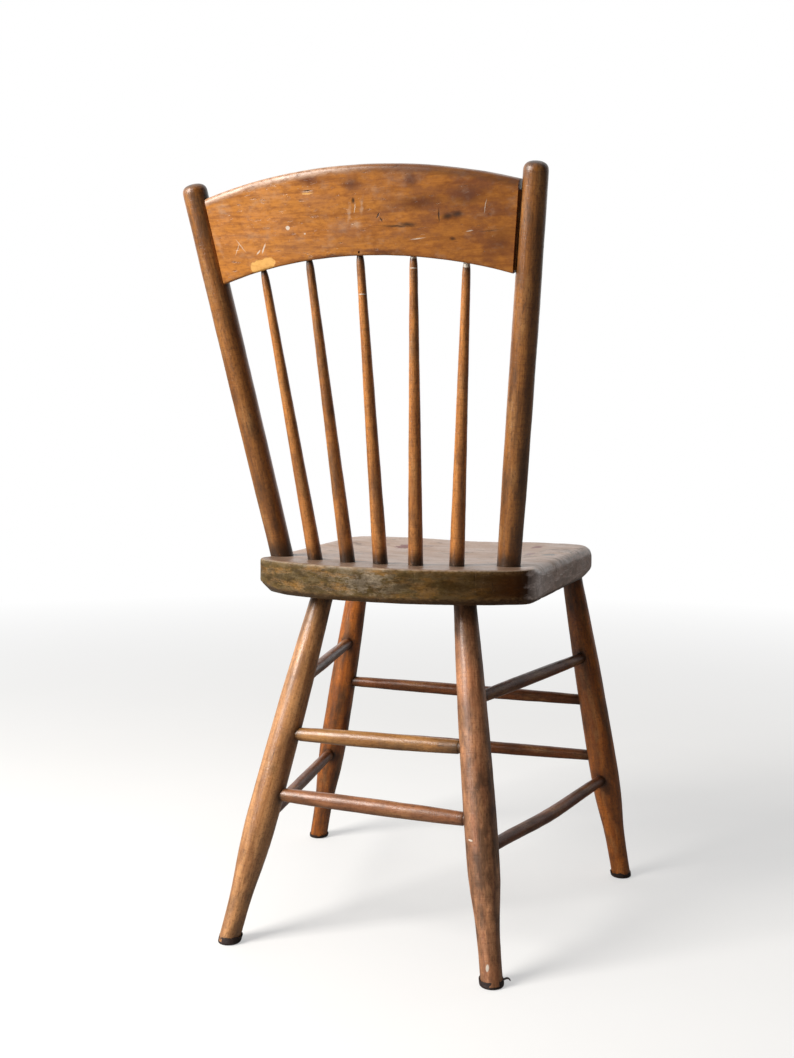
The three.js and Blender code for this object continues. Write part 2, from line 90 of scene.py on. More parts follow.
class SeatSizes(bpy.types.PropertyGroup):
    """Sizes of the seat plank"""

    front_half_width: size("Front half width", "Middle line to the side at the front corner", 177)
    left_rear: size("Left rear corner", "Middle line to the left rear corner", 158)
    right_rear: size("Right rear corner", "Middle line to the right rear corner", 179)
    rear_radius: size("Rear radius", "Arc of the rear edge seen from above", 312)
    front_corner: size("Front corner", "Rounding of the front corners seen from above", 42)
    rear_corner: size("Rear corner", "Rounding of the rear corners seen from above", 18)
    rear_arris: size("Rear arris", "Worn rounding along the rear top edge", 2.2)
    side_arris: size("Side arris", "Worn rounding along the side and front top edges", 11)
    lower_chamfer: size("Lower chamfer", "Slanted band along the bottom edge", 6)
    scoop_depth: size("Scoop depth", "Depth of the hollow below the deck", 9)
    scoop_half_width: size("Scoop half width", "Middle of the hollow to its rim, across", 152)
    scoop_half_length: size("Scoop half length", "Middle of the hollow to its rim, front to back", 190)
    scoop_centre: size("Scoop centre", "Front edge to the middle of the hollow", 170)
    deck_front: size("Deck front", "Flat deck left in front of the spindle line", 19)
    fineness: size("Fineness", "Width of the faces that carry the plank's wear", 2.3)


class BackSizes(bpy.types.PropertyGroup):
    """Sizes of the posts, spindles and crest rail"""

    overhang: size("Overhang", "Plank behind the middle spindle", 46)
    line_radius: size("Line radius", "Arc on which posts and spindles stand", 300)
    post_seat_x: size("Post foot", "Middle line to the post at the deck", 142.5)
    post_top_x: size("Post tip", "Middle line to the post at its tip", 198)
    post_rake: size("Post rake", "Lean from deck to tip", 112.5)
    post_rise: size("Post rise", "Height of the tips over the deck", 426.5)
    post_seat: size("Post foot diameter", "Thickness at the deck", 27)
    post_belly: size("Post belly diameter", "Thickness in the middle", 28.5)
    post_top: size("Post tip diameter", "Thickness below the dome", 26.5)
    post_dome: size("Post dome", "Height of the rounded tip", 10)
    post_entry: size("Post entry", "Depth in the seat", 24)
    spindle_seat: size("Spindle foot diameter", "Thickness at the deck", 17.5)
    spindle_tip: size("Spindle tip diameter", "Thickness at the crest rail", 6.4)
    spindle_shoulder: size("Spindle shoulder", "Thickness where the tip starts to narrow", 9.2)
    spindle_drop: size("Spindle shoulder drop", "Crest rail down to the shoulder", 16)
    spindle_entry: size("Spindle entry", "Depth in the seat", 18)
    spindle_tip_entry: size("Spindle tip entry", "Depth in the crest rail", 12)
    spindle_inner_x: size("Inner spindle foot", "Middle line to the inner spindles at the deck", 42)
    spindle_outer_x: size("Outer spindle foot", "Middle line to the outer spindles at the deck", 88)
    spindle_tip_inner_x: size("Inner spindle tip", "Middle line to the inner spindles at the rail", 61)
    spindle_tip_outer_x: size("Outer spindle tip", "Middle line to the outer spindles at the rail", 119)
    crest_drop: size("Crest drop", "Level of the tips to the middle of the rail's lower edge", 85)
    crest_height: size("Crest height", "Lower to upper edge of the rail", 94)
    crest_thickness: size("Crest thickness", "Front to rear face of the rail", 15)
    crest_arch: size("Crest arch radius", "Arc of the rail's lower edge", 558)
    crest_bow: size("Crest bow", "Middle of the rail behind its ends", 8)
    crest_setback: size("Crest setback", "Ends of the rail behind the posts' axes", 2.5)
    crest_round: size("Crest edge rounding", "Worn rounding of the rail's edges", 3)
    crest_chamfer: size("Crest chamfer", "Rubbed band along the upper rear edge", 6.5)
    shoulder_gap: size("Shoulder gap", "Open joint between rail and post", 0.4)
    tenon_thickness: size("Tenon thickness", "Front to rear of the rail's tenons", 8)
    tenon_inset: size("Tenon inset", "Tenon kept back from the rail's edges", 6)
    tenon_stop: size("Tenon stop", "Tenon's end to the post's axis", 3)


class LegSizes(bpy.types.PropertyGroup):
    """Sizes of the legs, stretchers and foot pads"""

    front_spread: size("Front spread", "Between the axes of the front feet", 448)
    rear_spread: size("Rear spread", "Between the axes of the rear feet", 321)
    front_foot: size("Front foot place", "Seat's front edge to the front feet", 26)
    rear_foot: size("Rear foot place", "Seat's front edge to the rear feet", 420)
    front_top_x: size("Front leg top", "Middle line to the front legs at the seat", 151.5)
    rear_top_x: size("Rear leg top", "Middle line to the rear legs at the seat", 89)
    front_top: size("Front top place", "Seat's front edge to the tops of the front legs", 39)
    rear_top: size("Rear top place", "Seat's front edge to the tops of the rear legs", 309)
    top: size("Leg top diameter", "Thickness under the seat", 26.5)
    belly: size("Leg belly diameter", "Thickness at the widest place", 37)
    ankle: size("Leg ankle diameter", "Thickness at the floor", 24.5)
    belly_up: size("Belly height", "Floor to the widest place, along the leg", 152)
    ankle_up: size("Ankle height", "Floor to the start of the swelling", 20)
    neck: size("Leg neck", "Straight stretch below the seat", 12)
    entry: size("Leg entry", "Depth in the seat", 24)
    stretcher_end: size("Stretcher end diameter", "Thickness at the legs", 14)
    stretcher_shoulder: size("Rear stretcher shoulder", "Thickness of the rear ones beside the legs", 15.8)
    stretcher_rear: size("Rear stretcher diameter", "Thickness in the middle", 18.5)
    stretcher_front: size("Front stretcher diameter", "Thickness in the middle", 16.5)
    stretcher_side: size("Side stretcher diameter", "Thickness in the middle", 15.5)
    stretcher_stop: size("Stretcher stop", "Tenon's end to the leg's axis", 3)
    stretcher_neck: size("Stretcher neck", "Straight stretch outside the leg", 4)
    sag: size("Sag", "Droop of the lower right stretcher", 4)
    pad_floor: size("Pad floor", "Leather under the leg", 3)
    pad_rim: size("Pad rim", "Leather of the turned-up rim", 1.1)


class ChairColours(bpy.types.PropertyGroup):
    """Colours of the chair's finishes"""

    stain: tint("Stain", "Brown stain of the legs", "#daa06a")
    stain_deep: tint("Deep stain", "Stain where it lies thick on the legs", "#834c23")
    rubbed: tint("Rubbed wood", "Stain rubbed thin by hands and feet", "#c08f5a")
    # on the legs' tops the grime and the film also stand in for the seat's shadow: painted shade
    grime: tint("Grime", "Greasy dirt at the joints", "#1d130b")
    film_and_shade: tint("Film", "Dark film of age over the varnish", "#382513")
    varnish: tint("Varnish", "Orange-brown varnish of the crest rail", "#bd7830")
    varnish_deep: tint("Deep varnish", "Varnish where it has darkened", "#6b3512")
    bare: tint("Bare wood", "Wood where the varnish has flaked off", "#dca658")
    chalk: tint("Chalk", "Flecks of old white paint", "#d9cfc0")
    olive: tint("Olive paint", "Old paint on the seat's edge", "#62502e")
    ochre: tint("Ochre wood", "Wood where the paint has rubbed through", "#9a6f38")
    # the ashen patch is partly faded paint and partly a painted reflection on the rear face
    ashen_paint_and_reflection: tint("Ashen patch", "Faded paint on the seat's edge", "#a0907a")
    # the top's pale colour is partly worn wood and partly a painted reflection of the bright room
    seat_wood_and_reflection: tint("Seat wood", "Worn wood of the seat's top", "#ae8f79")
    red: tint("Red paint", "Last flakes of red paint on the top", "#6a1f1a")
    leather: tint("Leather", "Foot pads", "#2b1a14")
    iron: tint("Iron", "Tack heads", "#4f4740")
    floor: tint("Floor", "Studio floor", "#f2f1ef")


# Modelling steps


def only(piece):
    """Makes one piece the only selected and the active one."""
    bpy.ops.object.select_all(action="DESELECT")
    piece.select_set(True)
    bpy.context.view_layer.objects.active = piece


def lone_vertex(name):
    """Starts a mesh of one vertex at the origin, in edit mode."""
    bpy.ops.object.select_all(action="DESELECT")
    bpy.ops.mesh.primitive_plane_add(size=MM)
    piece = bpy.context.object
    piece.name = piece.data.name = name
    bpy.ops.object.mode_set(mode="EDIT")
    bpy.ops.mesh.select_mode(type="VERT")
    bpy.ops.mesh.select_all(action="SELECT")
    bpy.ops.mesh.merge(type="CENTER")
    return piece


def draw_line(points):
    """Moves the lone vertex to the first point and extrudes it through the others."""
    bpy.ops.transform.translate(value=points[0])
    for start, end in zip(points, points[1:]):
        bpy.ops.mesh.extrude_region_move(TRANSFORM_OT_translate={"value": end - start})


def fill_loop():
    """Closes the drawn line into a ring and fills it with a face."""
    bpy.ops.mesh.select_all(action="SELECT")
    bpy.ops.mesh.remove_doubles(threshold=TOUCH)
    bpy.ops.mesh.select_all(action="SELECT")
    bpy.ops.mesh.edge_face_add()


def close_mesh():
    """Merges doubles, turns the faces outwards and leaves edit mode."""
    bpy.ops.mesh.select_all(action="SELECT")
    bpy.ops.mesh.remove_doubles(threshold=TOUCH)
    bpy.ops.mesh.normals_make_consistent(inside=False)
    bpy.ops.object.mode_set(mode="OBJECT")


def turned(name, profile, steps):
    """Spins a half profile of radius and height about +Z."""
    piece = lone_vertex(name)
    draw_line([Vector((radius, 0, height)) for radius, height in profile])
    bpy.ops.mesh.select_all(action="SELECT")
    bpy.ops.mesh.spin(steps=steps, angle=2 * math.pi, center=(0, 0, 0), axis=(0, 0, 1))
    close_mesh()
    return piece


def settle(piece, place):
    """Moves a piece to its place and leaves that place in its mesh."""
    only(piece)
    piece.matrix_world = place
    bpy.ops.object.transform_apply(location=True, rotation=True, scale=True)


def apply_modifier(piece, kind, **settings):
    """Adds a modifier and applies it."""
    only(piece)
    modifier = piece.modifiers.new(kind.lower(), kind)
    for key, value in settings.items():
        setattr(modifier, key, value)
    bpy.ops.object.modifier_apply(modifier=modifier.name)


def weather(piece, wear):
    """Raises and sinks a surface by cloudy noise, for each grain size and depth in millimetres."""
    for grain, depth in wear:
        cloud = bpy.data.textures.new(f"{piece.name}_weather", "CLOUDS")
        cloud.noise_scale = grain * MM
        cloud.noise_depth = 2
        settings = {"texture": cloud, "texture_coords": "GLOBAL", "mid_level": 0.5}
        apply_modifier(piece, "DISPLACE", strength=2 * depth * MM, **settings)
        bpy.data.textures.remove(cloud)


def combine(piece, tools, operation):
    """Joins tool solids into one and cuts them from a piece, or adds them to it."""
    only(tools[0])
    for tool in tools:
        tool.select_set(True)
    if len(tools) > 1:
        bpy.ops.object.join()
    tool = bpy.context.object
    apply_modifier(piece, "BOOLEAN", object=tool, operation=operation, solver="EXACT")
    only(tool)
    bpy.ops.object.delete()
    apply_modifier(piece, "TRIANGULATE", min_vertices=5, ngon_method="BEAUTY")
    bpy.ops.object.mode_set(mode="EDIT")
    bpy.ops.mesh.select_all(action="SELECT")
    bpy.ops.mesh.dissolve_degenerate(threshold=SLIVER)
    close_mesh()


def round_bar(place, radius, low, high, steps=24):
    """A plain bar on a frame's +Z between two heights, used as a cutter."""
    bpy.ops.object.select_all(action="DESELECT")
    bpy.ops.mesh.primitive_cylinder_add(vertices=steps, radius=radius, depth=high - low)
    bar = bpy.context.object
    settle(bar, place @ Matrix.Translation((0, 0, (low + high) / 2)))
    return bar


def block(place, low, high):
    """A plain block between two corners of a frame, used as a cutter or a tenon."""
    bpy.ops.object.select_all(action="DESELECT")
    bpy.ops.mesh.primitive_cube_add(size=1)
    cube = bpy.context.object
    middle = Matrix.Translation((Vector(low) + Vector(high)) / 2)
    settle(cube, place @ middle @ Matrix.Diagonal((Vector(high) - Vector(low)).to_4d()))
    return cube


def slice_off(piece, point, normal):
    """Cuts away what lies behind a plane and closes the cut."""
    only(piece)
    bpy.ops.object.mode_set(mode="EDIT")
    bpy.ops.mesh.select_all(action="SELECT")
    bpy.ops.mesh.bisect(plane_co=point, plane_no=normal, use_fill=True, clear_inner=True)
    close_mesh()


def bezier(points, steps):
    """Points on a curve with the given controls, without the first one."""
    spots = []
    for step in range(1, steps + 1):
        share = step / steps
        row = [Vector(point) for point in points]
        while len(row) > 1:
            row = [a.lerp(b, share) for a, b in zip(row, row[1:])]
        spots.append(tuple(row[0]))
    return spots


def stationed(profile, step):
    """Adds points to the long stretches of a profile."""
    full = [profile[0]]
    for start, end in zip(profile, profile[1:]):
        count = max(1, math.ceil(abs(end[1] - start[1]) / step))
        full += [tuple(Vector(start).lerp(Vector(end), i / count)) for i in range(1, count + 1)]
    return full


# Marks that a finish reads from the mesh


def read(piece, field="co"):
    """The vertices' places or normals as an array."""
    flat = np.empty(len(piece.data.vertices) * 3)
    piece.data.vertices.foreach_get(field, flat)
    return flat.reshape(-1, 3)


def reshape(piece, spots):
    """Moves the vertices to new places."""
    piece.data.vertices.foreach_set("co", spots.ravel())


def local(piece, place):
    """The vertices' places in a frame of the piece's own."""
    inverse = np.array(place.inverted())
    return read(piece) @ inverse[:3, :3].T + inverse[:3, 3]


def note(piece, name, values):
    """Keeps one number or vector for each vertex, for the finish to read."""
    kind = "FLOAT_VECTOR" if values.ndim == 2 else "FLOAT"
    layer = piece.data.attributes.new(name, kind, "POINT")
    layer.data.foreach_set("vector" if values.ndim == 2 else "value", values.astype(np.float32).ravel())


def note_wear(piece, sharpest):
    """Notes how sharply each vertex stands out, where an edge is rubbed bare."""
    mesh = piece.data
    spots, normals = read(piece), read(piece, "normal")
    ends = np.empty(len(mesh.edges) * 2, dtype=int)
    mesh.edges.foreach_get("vertices", ends)
    ends = ends.reshape(-1, 2)
    counts, lengths, means = np.zeros(len(spots)), np.zeros(len(spots)), np.zeros_like(spots)
    spans = np.linalg.norm(spots[ends[:, 0]] - spots[ends[:, 1]], axis=1)
    for near, far in ((0, 1), (1, 0)):
        np.add.at(counts, ends[:, near], 1)
        np.add.at(means, ends[:, near], spots[ends[:, far]])
        np.add.at(lengths, ends[:, near], spans)
    counts = np.maximum(counts, 1)
    lean = ((spots - means / counts[:, None]) * normals).sum(1)
    bend = 2 * lean / np.maximum(lengths / counts, TOUCH) ** 2
    for _ in range(2):
        total = bend.copy()
        for near, far in ((0, 1), (1, 0)):
            np.add.at(total, ends[:, near], bend[ends[:, far]])
        bend = total / (counts + 1)
    note(piece, "wear", np.clip(bend * sharpest, 0, 1))


# Finishes

# spots of old white paint on the sticks and of red paint on the seat: place and reach in millimetres
LEG_SPATTERS = (((-126.5, 173.3, 149.5), (4, 4, 1.3)), ((-157, 204, 22), (2.2, 3, 5)))
SPINDLE_SPATTERS = (
    ((-2.4, 188.1, 745), (7, 5, 0.8)),
    ((-63, 190.6, 770.5), (7, 5, 0.8)),
    ((-62, 191.5, 781.5), (6, 4, 1.5)),
    ((-120.5, 188, 772), (6, 5, 3.5)),
)
SEAT_CHIPS = ((69, -134, 442), (9, 22, 30)), ((-121, -83, 442), (6, 12, 30)), ((-110, -160, 442), (8, 14, 30))
# ovals on the rail's rear face: across, up, half width and half height in millimetres, turn and softness
RAIL_BEHIND, RAIL_DEEP = 18, 14  # place and reach of all of them behind the posts
RAIL_SHADOWS = (
    (49, 82, 20, 10, -0.12, 1), (0, 75, 17, 11, 0, 1), (-67, 76, 12, 12, 0, 1), (-128, 56, 36, 16, 0.1, 1),
    (-110, 37, 20, 8, 0.05, 1), (-160, 8, 26, 22, 0, 1), (-75, 52, 40, 12, 0.05, 1),
    (-30, 3, 46, 5, -0.06, 1), (30, 1, 30, 4, 0.05, 1),
)
RAIL_FLAKES = (
    (121, -7, 12, 7.5, 0.3, 0.1), (109, -4.5, 10, 7, 0.3, 0.1), (51.5, 68.5, 7, 1.3, 0.05, 0.3),
)
RAIL_SCRATCHES = (
    (79.7, 33, 3, 2.8, 0, 0.35), (112, 12, 8, 1.3, 1.1, 0.6), (119, 8, 5, 1, 0.8, 0.6),
    (141, 16, 13, 0.55, -0.9, 0.7), (146, 12, 11, 0.55, 1.12, 0.7), (60, 26, 1.4, 1.2, 0, 0.5),
    (-145, 44, 10, 0.55, 1.35, 0.7), (-127, 20, 5, 0.7, 0.1, 0.7), (-70, 15, 11, 0.8, 0.1, 0.9),
    (-2, 50, 7, 0.5, 1.3, 0.7),
)
RAIL_HAZE = (
    (157, 55, 13, 17, 0, 1), (5, 44, 3, 15, -0.15, 1), (-10, 52, 3, 15, -0.2, 1), (-2, 33, 10, 6, 0, 1),
    (170, 20, 5, 24, 0.35, 1), (52, 70, 10, 4, 0, 1),
)
RAIL_GOUGES = (
    (-28, 41.5, 4.4, 0.9, 0.9, 0.5), (-30.5, 37, 3.8, 0.9, -1.1, 0.5), (-48, 29, 27, 2.1, -0.06, 1),
    (-60, 30, 15, 3.8, -0.08, 1), (-95, 37.5, 10, 1.3, 1.5, 0.8), (-104, 36, 9, 4.5, 0.1, 1),
    (-115, 38, 9, 5, 0, 1), (-108, 13, 5, 3, 0, 1), (-148, 19, 15, 0.6, 0.04, 0.7),
    (51, 71, 8, 0.8, 0.05, 0.6), (-1, 58, 2.4, 4.4, 0, 0.8),
)


def add(tree, kind, links=None, out=0, **settings):
    """Adds one shader node, sets it up, feeds its inputs and gives one output, or all of them for None."""
    made = tree.nodes.new("ShaderNode" + kind)
    for key, value in settings.items():
        setattr(made, key, value)
    for key, value in (links or {}).items():
        if isinstance(value, bpy.types.NodeSocket):
            tree.links.new(value, made.inputs[key])
        else:
            made.inputs[key].default_value = value
    return made.outputs if out is None else made.outputs[out]


def blank_finish(name):
    """A new material with an empty node tree."""
    material = bpy.data.materials.new(name)
    material.use_nodes = True
    material.node_tree.nodes.clear()
    return material, material.node_tree


def cloudy(tree, coords, grain, low, high, seed, detail=3.0, roughness=0.55):
    """A mask of noise with a grain size in millimetres along each axis, 0 at one level and 1 at another."""
    place = add(tree, "Mapping", {"Vector": coords, "Scale": [1 / (side * MM) for side in grain]})
    links = {"Vector": place, "W": seed, "Scale": 1.0, "Detail": detail, "Roughness": roughness}
    cloud = add(tree, "TexNoise", links, noise_dimensions="4D")
    levels = {"Value": cloud, "From Min": low, "From Max": high}
    return add(tree, "MapRange", levels, interpolation_type="SMOOTHSTEP")


def ragged(tree, coords, grain, reach):
    """Coordinates that wander by a reach in millimetres along each axis, so that marks get torn outlines."""
    links = {"Vector": coords, "Scale": 1 / (grain * MM), "Detail": 4.0, "Roughness": 0.6}
    cloud = add(tree, "TexNoise", links, out="Color")
    centred = add(tree, "VectorMath", {0: cloud, 1: (0.5, 0.5, 0.5)}, operation="SUBTRACT")
    steps = {0: centred, 1: [side * MM for side in reach], 2: coords}
    return add(tree, "VectorMath", steps, operation="MULTIPLY_ADD")


def mark(tree, coords, centre, reach, turn=0.0, soft=0.5):
    """A mask of one oval at a place in millimetres, 1 inside and 0 outside, with a soft rim."""
    middle, half = ([side * MM for side in sides] for sides in (centre, reach))
    links = {"Vector": coords, "Location": middle, "Rotation": (0, turn, 0), "Scale": half}
    place = add(tree, "Mapping", links, vector_type="TEXTURE")
    away = add(tree, "VectorMath", {0: place}, out="Value", operation="LENGTH")
    levels = {"Value": away, "From Min": 1.0, "From Max": 1.0 - soft}
    return add(tree, "MapRange", levels, interpolation_type="SMOOTHSTEP")


def rail_marks(tree, coords, ovals):
    """A mask of several ovals on the rail's rear face."""
    masks = [
        mark(tree, coords, (x, RAIL_BEHIND, up), (wide, RAIL_DEEP, tall), turn, soft)
        for x, up, wide, tall, turn, soft in ovals
    ]
    return merged(tree, "MAXIMUM", *masks)


def merged(tree, how, *masks):
    """Merges masks into one: by MAXIMUM where any of them lies, by MULTIPLY where all of them meet."""
    whole = masks[0]
    for mask in masks[1:]:
        whole = add(tree, "Math", {0: whole, 1: mask}, operation=how)
    return whole


def paint(colour):
    """A colour for a shader: a socket as it is, a hex code or a user's colour with its alpha."""
    if isinstance(colour, bpy.types.NodeSocket):
        return colour
    return (*(linear(colour) if isinstance(colour, str) else colour), 1)


def laid_over(tree, base, *layers):
    """Lays colours over a base colour, each where its mask says and to the given share."""
    for mask, share, colour in layers:
        if share < 1:
            mask = add(tree, "Math", {0: mask, 1: share}, operation="MULTIPLY")
        base = add(tree, "Mix", {0: mask, 6: paint(base), 7: paint(colour)}, out=2, data_type="RGBA")
    return base


def complete(tree, colour, roughness, relief, depth, **sockets):
    """Ends a material in one shader with a bumped surface."""
    bump = add(tree, "Bump", {"Height": relief, "Strength": 1.0, "Distance": depth * MM})
    links = {"Base Color": colour, "Roughness": roughness, "Normal": bump}
    links.update({key.replace("_", " "): value for key, value in sockets.items()})
    add(tree, "OutputMaterial", {"Surface": add(tree, "BsdfPrincipled", links)}, out=None)


def stained_birch(name, colours, stain, deep, seed, spatters=(), polish=1.0):
    """Turned birch under stain and rubbed satin varnish: mottled, ringed by the lathe, dirty at the joints,
    and on the legs' tops darkened by grime and film as painted shade under the seat.
    """
    material, tree = blank_finish(name)
    grain = add(tree, "Attribute", out="Vector", attribute_name="grain")
    dirt, share = (add(tree, "Attribute", out="Fac", attribute_name=name) for name in ("grime", "film_and_shade"))
    coords = add(tree, "TexCoord", out="Object")
    fibre = cloudy(tree, grain, (1.6, 1.6, 30), 0.4, 0.7, seed, 4.0, 0.6)
    figure = cloudy(tree, grain, (8, 8, 70), 0.38, 0.64, seed + 1, 4.0)
    rings = cloudy(tree, grain, (60, 60, 1.2), 0.45, 0.7, seed + 2, 2.0)
    speck = cloudy(tree, grain, (2.2, 2.2, 3.6), 0.48, 0.66, seed + 3, 3.0, 0.6)
    rubbed = cloudy(tree, grain, (12, 12, 52), 0.5, 0.7, seed + 4, 4.0)
    spread = cloudy(tree, grain, (13, 13, 38), 0.25, 0.75, seed + 5, 4.0, 0.6)
    soot = cloudy(tree, grain, (3.5, 3.5, 16), 0.61, 0.69, seed + 6, 5.0, 0.62)
    fleck = cloudy(tree, grain, (1.6, 1.6, 4), 0.75, 0.775, seed + 7, 2.0)
    broken = cloudy(tree, grain, (7, 7, 9), 0.2, 0.55, seed + 8, 4.0)
    # the film here and the grime at the joints below also paint the shade under the seat on the legs' tops:
    # painted shade
    cover = add(tree, "Math", {0: spread, 1: share}, operation="ADD")
    film_and_shade = add(tree, "MapRange", {"Value": cover, "From Min": 0.55, "From Max": 1.35})
    colour = laid_over(
        tree, stain,
        (figure, 0.55, deep), (rubbed, 0.5, colours.rubbed), (fibre, 0.3, deep), (rings, 0.28, deep),
        (speck, 0.5, deep), (film_and_shade, 0.8, colours.film_and_shade), (soot, 0.5, colours.grime),
        (merged(tree, "MULTIPLY", dirt, broken), 0.95, colours.grime), (fleck, 0.6, colours.chalk),
        *((mark(tree, coords, centre, reach, 0, 0.4), 0.9, colours.chalk) for centre, reach in spatters),
    )
    worn = merged(tree, "MAXIMUM", film_and_shade, soot)
    gloss = add(tree, "MapRange", {"Value": worn, "To Min": 0.3, "To Max": 0.5})
    pores = merged(tree, "MAXIMUM", rings, speck)
    relief = add(tree, "Math", {0: fibre, 1: pores}, operation="SUBTRACT")
    shine = {"Specular_IOR_Level": 0.5 * polish, "Coat_Weight": 0.3 * polish, "Coat_Roughness": 0.24}
    complete(tree, colour, gloss, relief, 0.1, **shine)
    return material


def varnished_rail(colours):
    """Birch slat under old shellac: warm and glossy, darkened in clouds, scuffed, gouged and flaked."""
    material, tree = blank_finish("shellacked_birch_rail")
    grain = add(tree, "Attribute", out="Vector", attribute_name="grain")
    rim = add(tree, "Attribute", out="Fac", attribute_name="wear")
    torn = ragged(tree, grain, 5.3, (7, 0, 6))
    nicked = ragged(tree, grain, 7, (3, 0, 1.8))
    dash = cloudy(tree, grain, (17, 4, 1.7), 0.48, 0.72, 1.0, 4.0, 0.6)
    figure = cloudy(tree, grain, (120, 40, 14), 0.38, 0.66, 2.0)
    cloud = cloudy(tree, grain, (30, 20, 17), 0.42, 0.66, 3.0, 5.0, 0.6)
    mottle = cloudy(tree, grain, (9, 6, 4.5), 0.42, 0.66, 4.0, 6.0, 0.66)
    band = cloudy(tree, grain, (60, 12, 4.5), 0.44, 0.66, 9.0, 5.0, 0.6)
    bloom = cloudy(tree, grain, (24, 12, 16), 0.5, 0.7, 10.0, 6.0, 0.66)
    soot = cloudy(tree, grain, (13, 6, 3.5), 0.6, 0.7, 5.0, 5.0, 0.62)
    fleck = cloudy(tree, grain, (2, 2, 1.6), 0.74, 0.77, 6.0, 2.0)
    scrape = cloudy(tree, grain, (15, 5, 1.1), 0.7, 0.76, 7.0, 2.0)
    patchy = cloudy(tree, grain, (8, 5, 4), 0.3, 0.62, 8.0, 5.0, 0.62)
    across = add(tree, "SeparateXYZ", {0: grain})
    right = add(tree, "MapRange", {"Value": across, "From Min": 0.1, "From Max": -0.13})
    # the rail's left half, on the side of the light, where its upper rear band gets a painted highlight
    left = add(tree, "MapRange", {"Value": across, "From Min": -0.03, "From Max": 0.03})
    shadow, flake, haze = (rail_marks(tree, torn, row) for row in (RAIL_SHADOWS, RAIL_FLAKES, RAIL_HAZE))
    pale, gouge = (rail_marks(tree, nicked, row) for row in (RAIL_SCRATCHES, RAIL_GOUGES))
    deep, chalk = colours.varnish_deep, colours.chalk
    colour = laid_over(
        tree, colours.varnish,
        (figure, 0.4, "#b97a2e"), (merged(tree, "MULTIPLY", cloud, right), 0.75, deep), (right, 0.3, deep),
        (shadow, 0.85, "#4a210e"), (mottle, 0.46, deep), (band, 0.42, deep), (dash, 0.3, deep),
        (bloom, 0.2, "#b9a28c"), (soot, 0.5, "#3f2410"), (scrape, 0.35, "#c99a68"),
        (merged(tree, "MULTIPLY", haze, patchy), 0.5, "#c2a78e"), (rim, 0.6, "#4a2c16"),
        # pale on the left half of the upper rear band: partly rubbed varnish, partly painted highlight
        (merged(tree, "MULTIPLY", rim, patchy, left), 0.6, "#d3ad90"),
        (flake, 1, laid_over(tree, colours.bare, (mottle, 0.6, "#b87c36"))),
        (gouge, 0.85, colours.grime), (pale, 0.75, chalk), (fleck, 0.7, chalk),
    )
    gloss = add(tree, "MapRange", {"Value": cloud, "To Min": 0.32, "To Max": 0.46})
    rough = add(tree, "Math", {0: flake, 1: 0.35, 2: gloss}, operation="MULTIPLY_ADD")
    dents = merged(tree, "MAXIMUM", flake, gouge, soot)
    relief = add(tree, "Math", {0: 1.0, 1: dents}, operation="SUBTRACT")
    complete(tree, colour, rough, relief, 0.15, Specular_IOR_Level=0.5)
    return material


